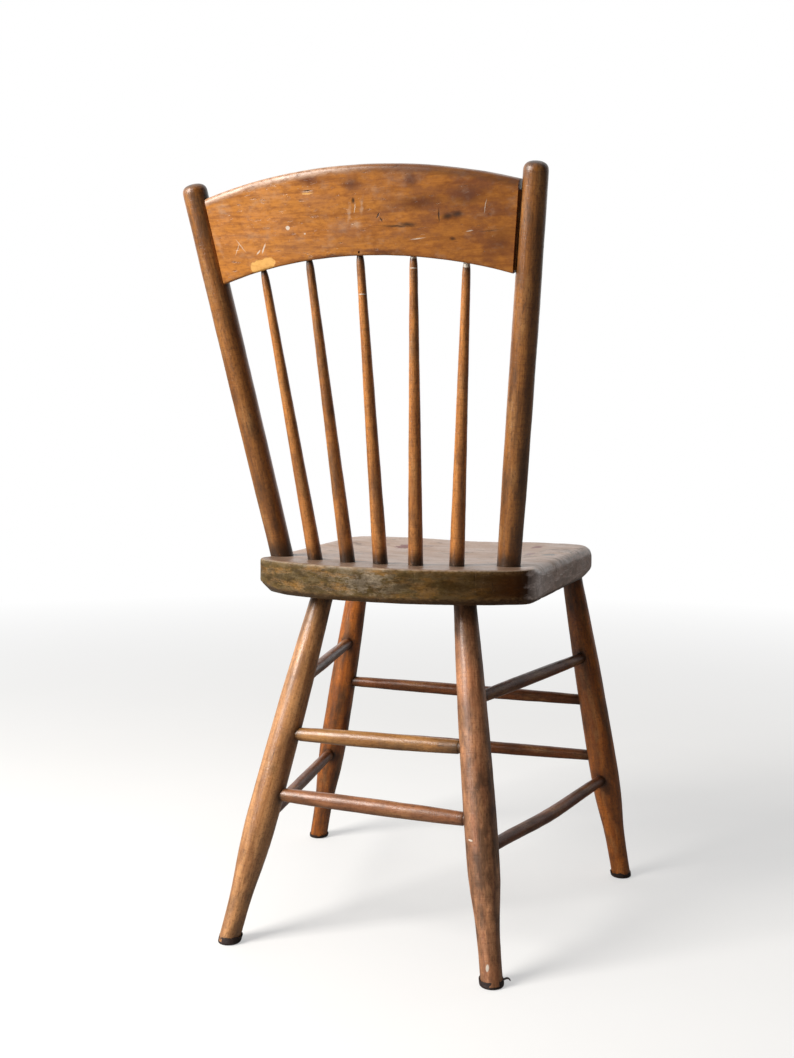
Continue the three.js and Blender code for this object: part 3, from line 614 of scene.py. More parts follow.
def painted_plank(colours):
    """Old paint on a pine plank: olive and rubbed through at the edge, nearly gone and crazed on the top."""
    material, tree = blank_finish("flaking_paint_on_pine")
    coords = add(tree, "TexCoord", out="Object")
    names = "wear", "top", "grime", "flank_reflection", "painted_arris_highlight"
    wear, top, dirt_and_step_shade, turn, painted_arris_highlight = (add(tree, "Attribute", out="Fac", attribute_name=name) for name in names)
    across, back, height = add(tree, "SeparateXYZ", {0: coords}, out=None)
    torn = ragged(tree, coords, 6.3, (30, 30, 0))
    # the edge, from the wood out
    rub = cloudy(tree, coords, (26, 26, 9), 0.46, 0.61, 1.0, 6.0, 0.66)
    glint = cloudy(tree, coords, (11, 11, 4), 0.52, 0.64, 2.0, 6.0, 0.68)
    fine = cloudy(tree, coords, (4.5, 4.5, 2.4), 0.38, 0.68, 3.0, 5.0, 0.65)
    ashen_paint_and_reflection = cloudy(tree, coords, (15, 15, 7), 0.43, 0.58, 4.0, 6.0, 0.68)
    soot = cloudy(tree, coords, (26, 26, 12), 0.45, 0.61, 5.0, 6.0, 0.66)
    streak = cloudy(tree, coords, (22, 22, 1.6), 0.5, 0.7, 6.0, 4.0)
    grit = cloudy(tree, coords, (2.4, 2.4, 1.5), 0.46, 0.66, 7.0, 3.0, 0.6)
    # a dark patch on the right rear corner, which turns from the light: painted shade
    corner = mark(tree, coords, (-165, 128, 425), (66, 70, 60), 0, 1.0)
    # a pale ashen patch in the middle of the rear face, over ashen clouds along the whole edge: partly faded
    # paint, partly painted reflection
    faded_paint_and_reflection = mark(tree, coords, (0, 170, 428), (52, 60, 28), 0, 0.9)
    golden = mark(tree, coords, (80, 160, 416), (80, 60, 18), 0, 1.0)
    # darker along the bottom chamfer: partly its own reddish-dark colour, partly painted shade under the lower
    # edge
    low = add(tree, "MapRange", {"Value": height, "From Min": 0.4135, "From Max": 0.411})
    # darker towards the right end of the rear face, which turns from the light: painted shade
    dark = add(tree, "MapRange", {"Value": across, "From Min": -0.03, "From Max": -0.1})
    # the right side's pale lilac, browner towards the front, stands in for the grazing reflection of the
    # bright room: painted reflection
    ahead = add(tree, "MapRange", {"Value": back, "From Min": 0.1, "From Max": 0.03})
    patchy = add(tree, "Math", {0: turn, 1: rub, 2: -0.3}, operation="MULTIPLY_ADD")
    cover = add(tree, "Math", {0: turn, 1: patchy}, operation="ADD")
    flank_reflection = add(tree, "MapRange", {"Value": cover, "From Min": 0.1, "From Max": 0.9})
    sides = laid_over(
        tree, "#f0dcd6", (ahead, 0.7, "#b0866c"), (soot, 0.35, "#7d675d"), (fine, 0.2, "#5a463d")
    )
    edge = laid_over(
        tree, colours.olive,
        (rub, 0.7, colours.ochre), (merged(tree, "MULTIPLY", golden, glint), 0.85, "#b48e58"),
        (merged(tree, "MULTIPLY", glint, rub), 0.4, "#a3794a"),
        (merged(tree, "MULTIPLY", faded_paint_and_reflection, ashen_paint_and_reflection), 0.95, colours.ashen_paint_and_reflection), (ashen_paint_and_reflection, 0.16, colours.ashen_paint_and_reflection),
        (soot, 0.55, "#2c1d07"), (fine, 0.34, "#231808"), (grit, 0.34, "#1d1206"), (streak, 0.3, "#241605"),
        (dark, 0.55, "#3a2203"), (low, 0.6, "#402a1c"), (corner, 0.88, "#3a1800"), (flank_reflection, 0.95, sides),
        (merged(tree, "MULTIPLY", wear, fine), 0.45, "#96774f"),
    )
    # the top, worn through by sitting; its pale wood also stands in for part of its grazing reflection:
    # painted reflection
    board = cloudy(tree, coords, (110, 4, 60), 0.4, 0.7, 11.0, 4.0)
    stain = cloudy(tree, coords, (50, 34, 60), 0.4, 0.7, 12.0, 4.0)
    skin = cloudy(tree, coords, (44, 22, 60), 0.575, 0.6, 13.0, 6.0, 0.66)
    islands = cloudy(tree, coords, (16, 9, 60), 0.645, 0.665, 14.0, 5.0, 0.6)
    craze = cloudy(tree, coords, (54, 1.5, 60), 0.62, 0.7, 15.0, 3.0)
    scale = cloudy(tree, coords, (9, 5, 60), 0.6, 0.66, 16.0, 5.0, 0.62)
    pits = cloudy(tree, coords, (6, 3, 60), 0.62, 0.68, 17.0, 5.0, 0.62)
    chips = merged(tree, "MAXIMUM", islands, *(mark(tree, torn, *chip, 0, 0.2) for chip in SEAT_CHIPS))
    green = mark(tree, torn, (-152, -57, 444), (9, 13, 30), 0, 0.3)
    behind = add(tree, "MapRange", {"Value": back, "From Min": 0.085, "From Max": 0.115})
    # the dark line at the deck's step is partly dirt and partly painted shade of the step
    deck = laid_over(
        tree, colours.seat_wood_and_reflection,
        (stain, 0.5, "#b89d88"), (board, 0.45, "#7a5641"), (skin, 0.7, "#6b5440"), (chips, 0.9, colours.red),
        (green, 0.85, "#30301f"), (scale, 0.6, "#cfbcac"), (pits, 0.6, "#4d362a"), (craze, 0.5, "#3a241b"),
        (behind, 0.6, "#57412f"), (dirt_and_step_shade, 0.9, "#21140d"),
    )
    # a thin pale line along the rear arris: painted highlight
    colour = laid_over(tree, edge, (top, 1, deck), (painted_arris_highlight, 0.45, "#b9a793"))
    gloss = add(tree, "MapRange", {"Value": stain, "To Min": 0.32, "To Max": 0.5})
    rise = add(tree, "Math", {0: skin, 1: rub}, operation="SUBTRACT")
    relief = add(tree, "Math", {0: rise, 1: craze}, operation="SUBTRACT")
    matt = add(tree, "MapRange", {"Value": top, "To Min": 0.16, "To Max": 0.42})
    sheen = add(tree, "MapRange", {"Value": turn, "To Min": matt, "To Max": 0.5})
    complete(tree, colour, gloss, relief, 0.25, Specular_IOR_Level=sheen)
    return material


def old_leather(colours):
    """Dry vegetable-tanned leather: nearly black, scuffed grey along its torn rim."""
    material, tree = blank_finish("dry_harness_leather")
    coords = add(tree, "TexCoord", out="Object")
    scuff = cloudy(tree, coords, (5, 5, 2.5), 0.5, 0.7, 1.0, 4.0)
    pebble = cloudy(tree, coords, (1.4, 1.4, 1.4), 0.35, 0.65, 2.0)
    dust = cloudy(tree, coords, (9, 9, 4), 0.55, 0.75, 3.0, 4.0)
    colour = laid_over(tree, colours.leather, (scuff, 0.55, "#46302a"), (dust, 0.35, "#5d554b"))
    gloss = add(tree, "MapRange", {"Value": scuff, "To Min": 0.62, "To Max": 0.85})
    complete(tree, colour, gloss, pebble, 0.25)
    return material


def rusted_iron(colours):
    """Cut tack iron: dull grey-brown with rust bloom."""
    material, tree = blank_finish("rusted_cut_tack_iron")
    coords = add(tree, "TexCoord", out="Object")
    bloom = cloudy(tree, coords, (1.6, 1.6, 1.6), 0.42, 0.6, 1.0, 4.0)
    pit = cloudy(tree, coords, (0.7, 0.7, 0.7), 0.4, 0.65, 2.0)
    colour = laid_over(tree, colours.iron, (bloom, 1, "#6d3a1c"))
    gloss = add(tree, "MapRange", {"Value": bloom, "To Min": 0.45, "To Max": 0.85})
    bare = add(tree, "MapRange", {"Value": bloom, "To Min": 0.8, "To Max": 0.1})
    complete(tree, colour, gloss, pit, 0.1, Metallic=bare)
    return material


# Layout

RUNGS = (  # each stretcher, the legs that it joins and its heights there in millimetres
    ("rear_upper", ("rear_left", "rear_right"), (237.5, 241.5)),
    ("rear_lower", ("rear_left", "rear_right"), (168.5, 165.5)),
    ("front_upper", ("front_left", "front_right"), (236.5, 237.5)),
    ("front_lower", ("front_left", "front_right"), (155.5, 162.5)),
    ("left_upper", ("rear_left", "front_left"), (296, 294.5)),
    ("left_lower", ("rear_left", "front_left"), (133.5, 130)),
    ("right_upper", ("rear_right", "front_right"), (292.5, 296.5)),
    ("right_lower", ("rear_right", "front_right"), (134, 133)),
)
SAGGING = "right_lower"


def arc(x, radius, crown=0.0):
    """The level of an arc beside its crown."""
    return crown + math.sqrt(radius**2 - x**2) - radius


def stick(node, foot, tip, side, **more):
    """Where one stick lies: from foot to tip, in a frame with +Z along it and +X turned to a side."""
    forward = (tip - foot).normalized()
    normal = forward.cross(side).normalized()
    axes = Matrix((normal.cross(forward), normal, forward)).transposed().to_4x4()
    place, span = Matrix.Translation(foot) @ axes, (tip - foot).length
    return SimpleNamespace(node=node, foot=foot, tip=tip, place=place, span=span, **more)


def plan(scene):
    """Works out where every stick stands, from the sizes and the frame."""
    back, legs = scene.chair_back, scene.chair_legs
    deck, underside, front = SEAT_HIGH.z, SEAT_LOW.z, SEAT_LOW.y
    line_y = SEAT_HIGH.y - back.overhang
    reach = math.hypot(back.post_rake, back.post_rise)
    rise = reach - back.crest_drop
    tilt = Matrix.Rotation(-math.atan2(back.post_rake, back.post_rise), 4, "X")
    leaning = Matrix.Translation((0, arc(back.post_seat_x, back.line_radius, line_y), deck)) @ tilt
    half_span = back.post_top_x - back.post_top / 2
    bow_radius = (half_span**2 + back.crest_bow**2) / (2 * back.crest_bow)

    def arch(x):
        return arc(x, back.crest_arch)

    def bowed(x):
        return arc(x, bow_radius, back.crest_setback + back.crest_bow)

    posts = []
    for side, sign in SIDES:
        foot = leaning @ Vector((sign * back.post_seat_x, 0, 0))
        tip = leaning @ Vector((sign * back.post_top_x, 0, reach))
        posts.append(stick(f"{side}_post", foot, tip, WIDE, sign=sign))

    feet = back.spindle_outer_x, back.spindle_inner_x, 0, -back.spindle_inner_x, -back.spindle_outer_x
    inner, outer = back.spindle_tip_inner_x, back.spindle_tip_outer_x
    spindles = []
    for count, (foot_x, tip_x) in enumerate(zip(feet, (outer, inner, 0, -inner, -outer)), 1):
        foot = Vector((foot_x, arc(foot_x, back.line_radius, line_y), deck))
        tip = leaning @ Vector((tip_x, bowed(tip_x), rise + arch(tip_x)))
        spindles.append(stick(f"spindle_{count}", foot, tip, WIDE))

    standing = {}
    for side, sign in SIDES:
        for end, spread, foot_y, top_x, top_y in (
            ("front", legs.front_spread, legs.front_foot, legs.front_top_x, legs.front_top),
            ("rear", legs.rear_spread, legs.rear_foot, legs.rear_top_x, legs.rear_top),
        ):
            name = f"{end}_{side}"
            foot = Vector((sign * spread / 2, front + foot_y, 0))
            tip = Vector((sign * top_x, front + top_y, underside))
            standing[name] = stick(f"{name}_leg", foot, tip, WIDE, name=name)

    rungs = []
    thickness = {"rear": legs.stretcher_rear, "front": legs.stretcher_front}
    for name, ends, heights in RUNGS:
        pair = [standing[end] for end in ends]
        foot, tip = (leg.foot.lerp(leg.tip, height * MM / underside) for leg, height in zip(pair, heights))
        diameter = thickness.get(name.split("_")[0], legs.stretcher_side)
        sag = legs.sag if name == SAGGING else 0
        rungs.append(stick(f"{name}_stretcher", foot, tip, UP, legs=ends, diameter=diameter, sag=sag))
    return SimpleNamespace(
        deck=deck, underside=underside, line_y=line_y, leaning=leaning, reach=reach, rise=rise,
        arch=arch, bowed=bowed, posts=posts, spindles=spindles, legs=standing, rungs=rungs,
    )


def set_out(scene, group):
    """What an operator needs: the layout, a group of sizes and the colours."""
    return plan(scene), getattr(scene, group), scene.chair_colours


def tenon(layout, sizes, post, grown, reach):
    """The crest rail's tenon in a post, or its mortise when grown by the clearance."""
    inner = sizes.post_top_x - sizes.post_top / 2
    low = (layout.rise + layout.arch(inner) + sizes.tenon_inset) * post.span / layout.reach
    high = low + sizes.crest_height - 2 * sizes.tenon_inset
    near, half = sizes.tenon_stop - grown, sizes.tenon_thickness / 2 + grown
    edges = sorted((-post.sign * near, -post.sign * reach))
    return block(post.place, (edges[0], -half, low - grown), (edges[1], half, high + grown))


def turn_stick(where, profile, steps, wear, sag=0.0, straight=0.0):
    """Turns a stick, lets it sag between its straight ends, lays it in place and makes it uneven."""
    piece = turned(f"{where.node}_worn", stationed(profile, STATION), steps)
    if sag:
        shape = read(piece)
        share = np.clip((shape[:, 2] - straight) / (where.span - 2 * straight), 0, 1)
        shape[:, 0] -= sag * np.sin(np.pi * share) ** 2
        reshape(piece, shape)
    settle(piece, where.place)
    weather(piece, wear)
    return piece


def hand_over(piece, node, material):
    """Gives a finished piece its finish and lets it stand for its solid."""
    only(piece)
    bpy.ops.object.shade_smooth_by_angle(angle=CREASE)
    piece.data.materials.clear()
    piece.data.materials.append(material)
    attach(piece, "root")
    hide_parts(node)


def hand_over_stick(piece, where, shift, joints, film_and_shade, finish):
    """Notes a stick's grain, its grime near the joints and its film along it, which on the legs' tops also
    paint the shade under the seat, and hands it over.
    """
    note(piece, "grain", local(piece, where.place) + shift)
    dirt = np.zeros(len(piece.data.vertices))
    for joint, reach in joints:
        away = np.linalg.norm(read(piece) - np.array(joint), axis=1)
        dirt = np.maximum(dirt, np.clip(1.6 - away / (reach * MM), 0, 1))
    note(piece, "grime", dirt)
    note(piece, "film_and_shade", np.interp(local(piece, where.place)[:, 2] / MM, *zip(*film_and_shade)))
    hand_over(piece, where.node, finish)


# Operators, one for each kind of piece


class Step:
    """What all the operators share"""

    bl_options = {"REGISTER", "UNDO"}


class CHAIR_OT_turn_legs(Step, bpy.types.Operator):
    """Turn the four legs and bore them for the stretchers"""

    bl_idname = "chair.turn_legs"
    bl_label = "Turn legs"
    film_and_shade = {  # share of dark film at heights in millimetres; the rise towards 420 at the top is painted shade under the seat
        "rear_left": ((0, 0.2), (60, 0.1), (150, 0), (320, 0), (370, 0.2), (420, 0.6)),
        "rear_right": ((0, 0.4), (60, 0.55), (210, 0.6), (270, 0.4), (330, 0.2), (370, 0.35), (420, 0.7)),
        "front_left": ((0, 0.5), (200, 0.4), (360, 0.3), (420, 0.6)),
        "front_right": ((0, 0.2), (200, 0.2), (360, 0.3), (420, 0.6)),
    }

    def execute(self, context):
        layout, sizes, colours = set_out(context.scene, "chair_legs")
        brown = stained_birch("stained_birch_rear_left_leg", colours, colours.stain, colours.stain_deep, 3.0)
        russet = stained_birch(
            "russet_stained_birch_rear_right_leg", colours, "#e2a274", "#8c4f30", 5.0, LEG_SPATTERS
        )
        red = stained_birch("red_stained_birch_front_legs", colours, "#d2792d", "#7a3c12", 13.0)
        finishes = {"rear_left": brown, "rear_right": russet}
        ankle, belly, top = sizes.ankle / 2, sizes.belly / 2, sizes.top / 2
        low, wide = sizes.ankle_up, sizes.belly_up
        start, swell = -2 * sizes.ankle, (low + wide) / 2
        for count, leg in enumerate(layout.legs.values()):
            neck, end = leg.span - sizes.neck, leg.span + sizes.entry
            profile = [(0, start), (ankle, start), (ankle, low)]
            profile += bezier([(ankle, low), (ankle, swell), (belly, swell), (belly, wide)], 14)
            profile += bezier([(belly, wide), (belly, (wide + neck) / 2), (top, neck)], 44)
            profile += [(top, end), (0, end)]
            piece = turn_stick(leg, profile, 40, STOUT_WEAR)
            slice_off(piece, (0, 0, sizes.pad_floor + GAP), UP)
            # the grime round the leg's top reaches 16 mm: partly dirt, partly painted shade under the seat
            cutters, joints = [], [(leg.tip, 16), (leg.foot, 9)]
            for rung in layout.rungs:
                if leg.name in rung.legs:
                    which = rung.legs.index(leg.name)
                    here, there = (rung.tip, rung.foot) if which else (rung.foot, rung.tip)
                    place = rung.place @ Matrix.Translation((0, 0, which * rung.span))
                    inner, outer = sizes.stretcher_stop - GAP, 2 * sizes.belly
                    ends = (-outer, -inner) if which else (inner, outer)
                    cutters.append(round_bar(place, sizes.stretcher_end / 2 + GAP, *ends))
                    joints.append((here + (there - here).normalized() * sizes.belly * 0.48, 9))
            pad = leg.foot.lerp(leg.tip, sizes.pad_floor / layout.underside)
            cutters.append(round_bar(Matrix.Translation((pad.x, pad.y, 0)), TACK_HOLE, 0, TACK_REACH, 10))
            combine(piece, cutters, "DIFFERENCE")
            shift = (0.31 * count, 0.17 * count, 0.43 * count)
            finish = finishes.get(leg.name, red)
            hand_over_stick(piece, leg, shift, joints, self.film_and_shade[leg.name], finish)
        return {"FINISHED"}


class CHAIR_OT_turn_stretchers(Step, bpy.types.Operator):
    """Turn the eight stretchers, which swell in the middle"""

    bl_idname = "chair.turn_stretchers"
    bl_label = "Turn stretchers"

    def execute(self, context):
        layout, sizes, colours = set_out(context.scene, "chair_legs")
        # the rear upper stretcher gets a lighter, golden copy of the stain
        golden = stained_birch("golden_birch_stretcher", colours, "#bf8b52", "#7c4c24", 21.0)
        russet = stained_birch("russet_stained_birch_stretcher", colours, "#b07650", "#704125", 23.0)
        dark = stained_birch("dark_stained_birch_stretchers", colours, "#8a5230", "#4c2813", 25.0, polish=0.4)
        finishes = {"rear_upper_stretcher": golden, "rear_lower_stretcher": russet}
        end, stop = sizes.stretcher_end / 2, sizes.stretcher_stop
        neck = sizes.belly / 2 + sizes.stretcher_neck
        shoulder = sizes.belly / 2 + 0.4 * MM
        for count, rung in enumerate(layout.rungs):
            middle, span = rung.diameter / 2, rung.span
            thick = sizes.stretcher_shoulder / 2 if rung.node.startswith("rear") else end
            profile = [(0, stop), (end, stop), (end, shoulder)]
            profile += [(thick - 0.3 * (thick - end), shoulder + 0.4 * MM), (thick, shoulder + 1.6 * MM)]
            profile += [(thick, neck)]
            profile += bezier([(thick, neck), (2 * middle - thick, span / 2), (thick, span - neck)], 48)
            profile += [(radius, span - height) for radius, height in profile[4::-1]]
            piece = turn_stick(rung, profile, 28, ((30, 0.3), (8, 0.1)), rung.sag, neck)
            inset = (rung.tip - rung.foot).normalized() * neck * 0.85
            joints = [(rung.foot + inset, 7), (rung.tip - inset, 7)]
            film_and_shade = ((0, 0.4), (50, 0.1), (span / MM - 50, 0.1), (span / MM, 0.4))
            shift = (0.37 * count, 0.11 * count, 0.53 * count)
            hand_over_stick(piece, rung, shift, joints, film_and_shade, finishes.get(rung.node, dark))
        return {"FINISHED"}


class CHAIR_OT_turn_posts(Step, bpy.types.Operator):
    """Turn the two back posts and cut their mortises"""

    bl_idname = "chair.turn_posts"
    bl_label = "Turn posts"
    film_and_shade = ((0, 1.1), (12, 0.7), (26, 0.15), (200, 0.15), (300, 0.05), (441, 0.25))
    uneven = {1: 0.7 * MM, -1: -0.2 * MM}  # the left post's tip is the thicker one
    rail_edges = 0.335, 0.43  # where the rail's lower and upper edge meet a post, along it

    def execute(self, context):
        layout, sizes, colours = set_out(context.scene, "chair_back")
        finish = stained_birch("stained_birch_posts", colours, "#a76c33", "#552d10", 31.0)
        for count, post in enumerate(layout.posts):
            foot, top = sizes.post_seat / 2, sizes.post_top / 2 + self.uneven[post.sign]
            belly = sizes.post_belly - (foot + top) / 2
            dome = post.span - sizes.post_dome
            profile = [(0, -sizes.post_entry), (foot, -sizes.post_entry), (foot, foot)]
            profile += bezier([(foot, foot), (belly, post.span / 2), (top, dome)], 70)
            profile += bezier([(top, dome), (top, post.span), (0, post.span)], 12)
            piece = turn_stick(post, profile, 36, STOUT_WEAR)
            combine(piece, [tenon(layout, sizes, post, GAP, sizes.post_belly)], "DIFFERENCE")
            joints = [(post.foot, 15), (post.tip, 9)]
            joints += [(post.place @ Vector((-post.sign * 14 * MM, 0, up)), 7) for up in self.rail_edges]
            shift = (0.41 * count, 0.23 * count, 0.67 * count)
            hand_over_stick(piece, post, shift, joints, self.film_and_shade, finish)
        return {"FINISHED"}


class CHAIR_OT_turn_spindles(Step, bpy.types.Operator):
    """Shave the five tapered spindles"""

    bl_idname = "chair.turn_spindles"
    bl_label = "Turn spindles"
    film_and_shade = 0.15, 0.3, 0.05, 0.15, 0  # share of dark film on each one's shaft

    def execute(self, context):
        layout, sizes, colours = set_out(context.scene, "chair_back")
        finish = stained_birch(
            "stained_birch_spindles", colours, "#cf8845", "#6f3a15", 41.0, SPINDLE_SPATTERS
        )
        foot, tip, neck = sizes.spindle_seat / 2, sizes.spindle_tip / 2, sizes.spindle_shoulder / 2
        for count, spindle in enumerate(layout.spindles):
            span = spindle.span
            low, high, drop = -sizes.spindle_entry, span + sizes.spindle_tip_entry, span - sizes.spindle_drop
            profile = [(0, low), (foot, low), (foot, 0), (neck, drop)]
            profile += bezier([(neck, drop), (neck, span - 0.35 * sizes.spindle_drop), (tip, span)], 6)
            profile += [(tip, high), (0, high)]
            piece = turn_stick(spindle, profile, 28, ((32, 0.25), (8, 0.08)))
            shade = self.film_and_shade[count]
            film_and_shade = ((0, 0.9), (22, shade), (span / MM - 30, shade), (span / MM, 0.9))
            shift = (0.29 * count, 0.19 * count, 0.59 * count)
            hand_over_stick(piece, spindle, shift, [(spindle.foot, 14), (spindle.tip, 5)], film_and_shade, finish)
        return {"FINISHED"}


class CHAIR_OT_bend_crest(Step, bpy.types.Operator):
    """Sweep the crest rail along its arch, bow it and fit it to the posts and spindles"""

    bl_idname = "chair.bend_crest"
    bl_label = "Bend crest rail"
    spare = 12 * MM  # length added to the rail before its shoulders are cut, and to its tenons inside it
    nail = Vector((-2.2, 19, 3.8)) * MM  # mouth of the nail hole, from the middle of the rail's lower edge

    def execute(self, context):
        layout, sizes, colours = set_out(context.scene, "chair_back")
        deep, tall = sizes.crest_thickness / 2, sizes.crest_height
        worn, chamfer = sizes.crest_round, sizes.crest_chamfer
        rim = [
            (worn - deep, 0),
            (deep - worn, 0),
            *bezier([(deep - worn, 0), (deep, 0), (deep, worn)], 4),
            (deep, tall - chamfer),
            *bezier([(deep, tall - chamfer), (deep, tall), (deep - 0.8 * chamfer, tall)], 5),
            (worn - deep, tall),
            *bezier([(worn - deep, tall), (-deep, tall), (-deep, tall - worn)], 4),
            (-deep, worn),
            *bezier([(-deep, worn), (-deep, 0), (worn - deep, 0)], 4),
        ]
        section = stationed(rim, 2.8 * MM)
        half_turn = math.asin((sizes.post_top_x + self.spare) / sizes.crest_arch)
        centre = layout.rise - sizes.crest_arch
        piece = lone_vertex("crest_rail_worn")
        start = Matrix.Translation((0, 0, centre)) @ Matrix.Rotation(-half_turn, 4, "Y")
        draw_line([start @ Vector((0, deep_at, sizes.crest_arch + up)) for deep_at, up in section])
        fill_loop()
        bpy.ops.mesh.spin(steps=150, angle=2 * half_turn, center=(0, 0, centre), axis=(0, -1, 0))
        close_mesh()
        shape = read(piece)
        shape[:, 1] += [layout.bowed(x) for x in shape[:, 0]]
        reshape(piece, shape)
        settle(piece, layout.leaning)
        shoulder = sizes.post_belly / 2 + sizes.shoulder_gap
        for post in layout.posts:
            inward = (post.place.to_3x3() @ Vector((-post.sign, 0, 0))).normalized()
            slice_off(piece, post.foot + inward * shoulder, inward)
        weather(piece, ((60, 0.5), (12, 0.12)))
        for post in layout.posts:
            combine(piece, [tenon(layout, sizes, post, 0, shoulder + self.spare)], "UNION")
        cutters = []
        for spindle in layout.spindles:
            low, high = spindle.span - 20 * MM, spindle.span + sizes.spindle_tip_entry + GAP
            cutters.append(round_bar(spindle.place, sizes.spindle_tip / 2 + GAP, low, high))
        mouth = Matrix.Translation(self.nail + UP * layout.rise) @ Matrix.Rotation(math.pi / 2, 4, "X")
        cutters.append(round_bar(layout.leaning @ mouth, 1.3 * MM, -3 * MM, 4.6 * MM, 12))
        combine(piece, cutters, "DIFFERENCE")
        spots = local(piece, layout.leaning)
        note(piece, "grain", spots - (0, 0, layout.rise))
        up = np.hypot(spots[:, 0], spots[:, 2] - centre) - sizes.crest_arch
        # the band along the upper rear edge, made pale on its left half by the finish: partly rubbed varnish,
        # partly painted highlight
        note(piece, "wear", np.clip((up - tall + 1.15 * chamfer) / (1.5 * MM), 0, 1))
        hand_over(piece, "crest_rail", varnished_rail(colours))
        return {"FINISHED"}


class CHAIR_OT_carve_seat(Step, bpy.types.Operator):
    """Cut the seat plank to its outline, scoop it, wear its edges and bore its sockets"""

    bl_idname = "chair.carve_seat"
    bl_label = "Carve seat"
    deck_y = 100 * MM  # behind this line the top is the flat deck with a sharp arris
    step_x = 135 * MM  # the scoop's step before the deck ends this far from the middle
    corner_y = 130 * MM  # the left rear corner, worn most on its lower edge
    rubbed_bend = 12 * MM  # edges that bend as tightly as this are rubbed bare
    arris_lean = 0.25, 0.93  # normals between these, up or down, belong to an arris
    chip_grains = 42, 110  # noise per metre, for large and small chips

    def execute(self, context):
        scene = context.scene
        layout, sizes, back, legs = plan(scene), scene.chair_seat, scene.chair_back, scene.chair_legs
        piece = lone_vertex("seat_worn")
        outline = self.outline(sizes)
        draw_line([Vector((x, y, layout.underside)) for x, y in outline])
        fill_loop()
        thick = UP * (layout.deck - layout.underside)
        bpy.ops.mesh.extrude_region_move(TRANSFORM_OT_translate={"value": thick})
        close_mesh()
        self.scoop(piece, sizes, back, layout)
        apply_modifier(piece, "REMESH", mode="VOXEL", voxel_size=sizes.fineness, adaptivity=0)
        self.soften(piece, sizes, layout, np.array(outline))
        apply_modifier(piece, "SMOOTH", factor=0.5, iterations=4)
        weather(piece, ((70, 0.5), (14, 0.16)))
        self.chip(piece)
        cutters = []
        for leg in layout.legs.values():
            low, high = leg.span - 30 * MM, leg.span + legs.entry + GAP
            cutters.append(round_bar(leg.place, legs.top / 2 + GAP, low, high, 40))
        sockets = [(post, back.post_seat, back.post_entry, 36) for post in layout.posts]
        sockets += [(spindle, back.spindle_seat, back.spindle_entry, 28) for spindle in layout.spindles]
        for where, thick, entry, steps in sockets:
            cutters.append(round_bar(where.place, thick / 2 + GAP, -entry - GAP, 20 * MM, steps))
        combine(piece, cutters, "DIFFERENCE")
        note_wear(piece, self.rubbed_bend)
        self.note_zones(piece, back, layout, sizes)
        hand_over(piece, "seat", painted_plank(scene.chair_colours))
        return {"FINISHED"}

    def outline(self, sizes):
        """The plank seen from above, from the front right corner round."""
        front, rear = SEAT_LOW.y, SEAT_HIGH.y
        arc_y = rear - sizes.rear_radius
        wide, corner, bend = sizes.front_half_width, sizes.front_corner, sizes.rear_corner

        def half(side, narrow):
            """One side of the outline, from the front edge to the crown of the rear arc."""
            corner_y = arc_y + math.sqrt(sizes.rear_radius**2 - narrow**2)
            angle = math.acos((narrow - bend) / sizes.rear_radius)
            turn = sizes.rear_radius * math.cos(angle), arc_y + sizes.rear_radius * math.sin(angle)
            points = [(wide - corner, front)]
            points += bezier([(wide - corner, front), (wide, front), (wide, front + corner)], 8)
            points += bezier([(wide, front + corner), (narrow, corner_y - bend)], 12)
            points += bezier([(narrow, corner_y - bend), (narrow, corner_y), turn], 5)
            for step in range(1, 15):
                at = angle + (math.pi / 2 - angle) * step / 14
                points.append((sizes.rear_radius * math.cos(at), arc_y + sizes.rear_radius * math.sin(at)))
            return [(side * x, y) for x, y in points]

        left, right = half(1, sizes.left_rear), half(-1, sizes.right_rear)
        there = left + right[-2::-1]
        return there + bezier([there[-1], there[0]], 12)

    def from_edge(self, spots, outline):
        """How far inside the outline each vertex lies, and which way is inwards."""
        starts = outline[:-1]
        nearest, inside, inward = np.ones(len(spots)), np.zeros(len(spots)), np.zeros((len(spots), 2))
        for start, run in zip(starts, outline[1:] - starts):
            length = np.hypot(*run)
            if length < TOUCH:
                continue
            share = np.clip((spots[:, :2] - start) @ run / length**2, 0, 1)
            offset = spots[:, :2] - start - share[:, None] * run
            normal = np.array((-run[1], run[0])) / length
            away = np.hypot(offset[:, 0], offset[:, 1])
            near = away < nearest
            nearest[near] = away[near]
            inside[near] = np.maximum(offset[near] @ normal, 0)
            inward[near] = normal
        return inside, inward

    def soften(self, piece, sizes, layout, outline):
        """Rounds the top edge, little at the rear and much at the sides, and slants the bottom edge."""
        spots = read(piece)
        inside, inward = self.from_edge(spots, outline)
        side = np.clip((self.deck_y + 15 * MM - spots[:, 1]) / (30 * MM), 0, 1)
        beside = np.hypot(np.abs(spots[:, 0]) - sizes.front_half_width, spots[:, 1] - SEAT_LOW.y)
        front = np.clip(1.5 - beside / (45 * MM), 0, 1)
        radius = sizes.rear_arris + (sizes.side_arris - sizes.rear_arris) * side + 3 * MM * front
        depth = np.maximum(layout.deck - spots[:, 2], 0)
        out, up = radius - inside, radius - depth
        reach = np.hypot(out, up)
        pull = np.where((out > 0) & (up > 0) & (reach > radius), 1 - radius / np.maximum(reach, TOUCH), 0)
        spots[:, :2] += inward * (pull * out)[:, None]
        spots[:, 2] -= pull * up
        away = np.hypot(spots[:, 0] - sizes.left_rear, spots[:, 1] - self.corner_y)
        corner = np.clip(1.5 - away / (30 * MM), 0, 1)
        cut = sizes.lower_chamfer * (1 + 1.1 * corner + 1.2 * front)
        missing = np.maximum(cut - inside - np.maximum(spots[:, 2] - layout.underside, 0), 0) / 2
        spots[:, :2] += inward * missing[:, None]
        spots[:, 2] += missing
        reshape(piece, spots)

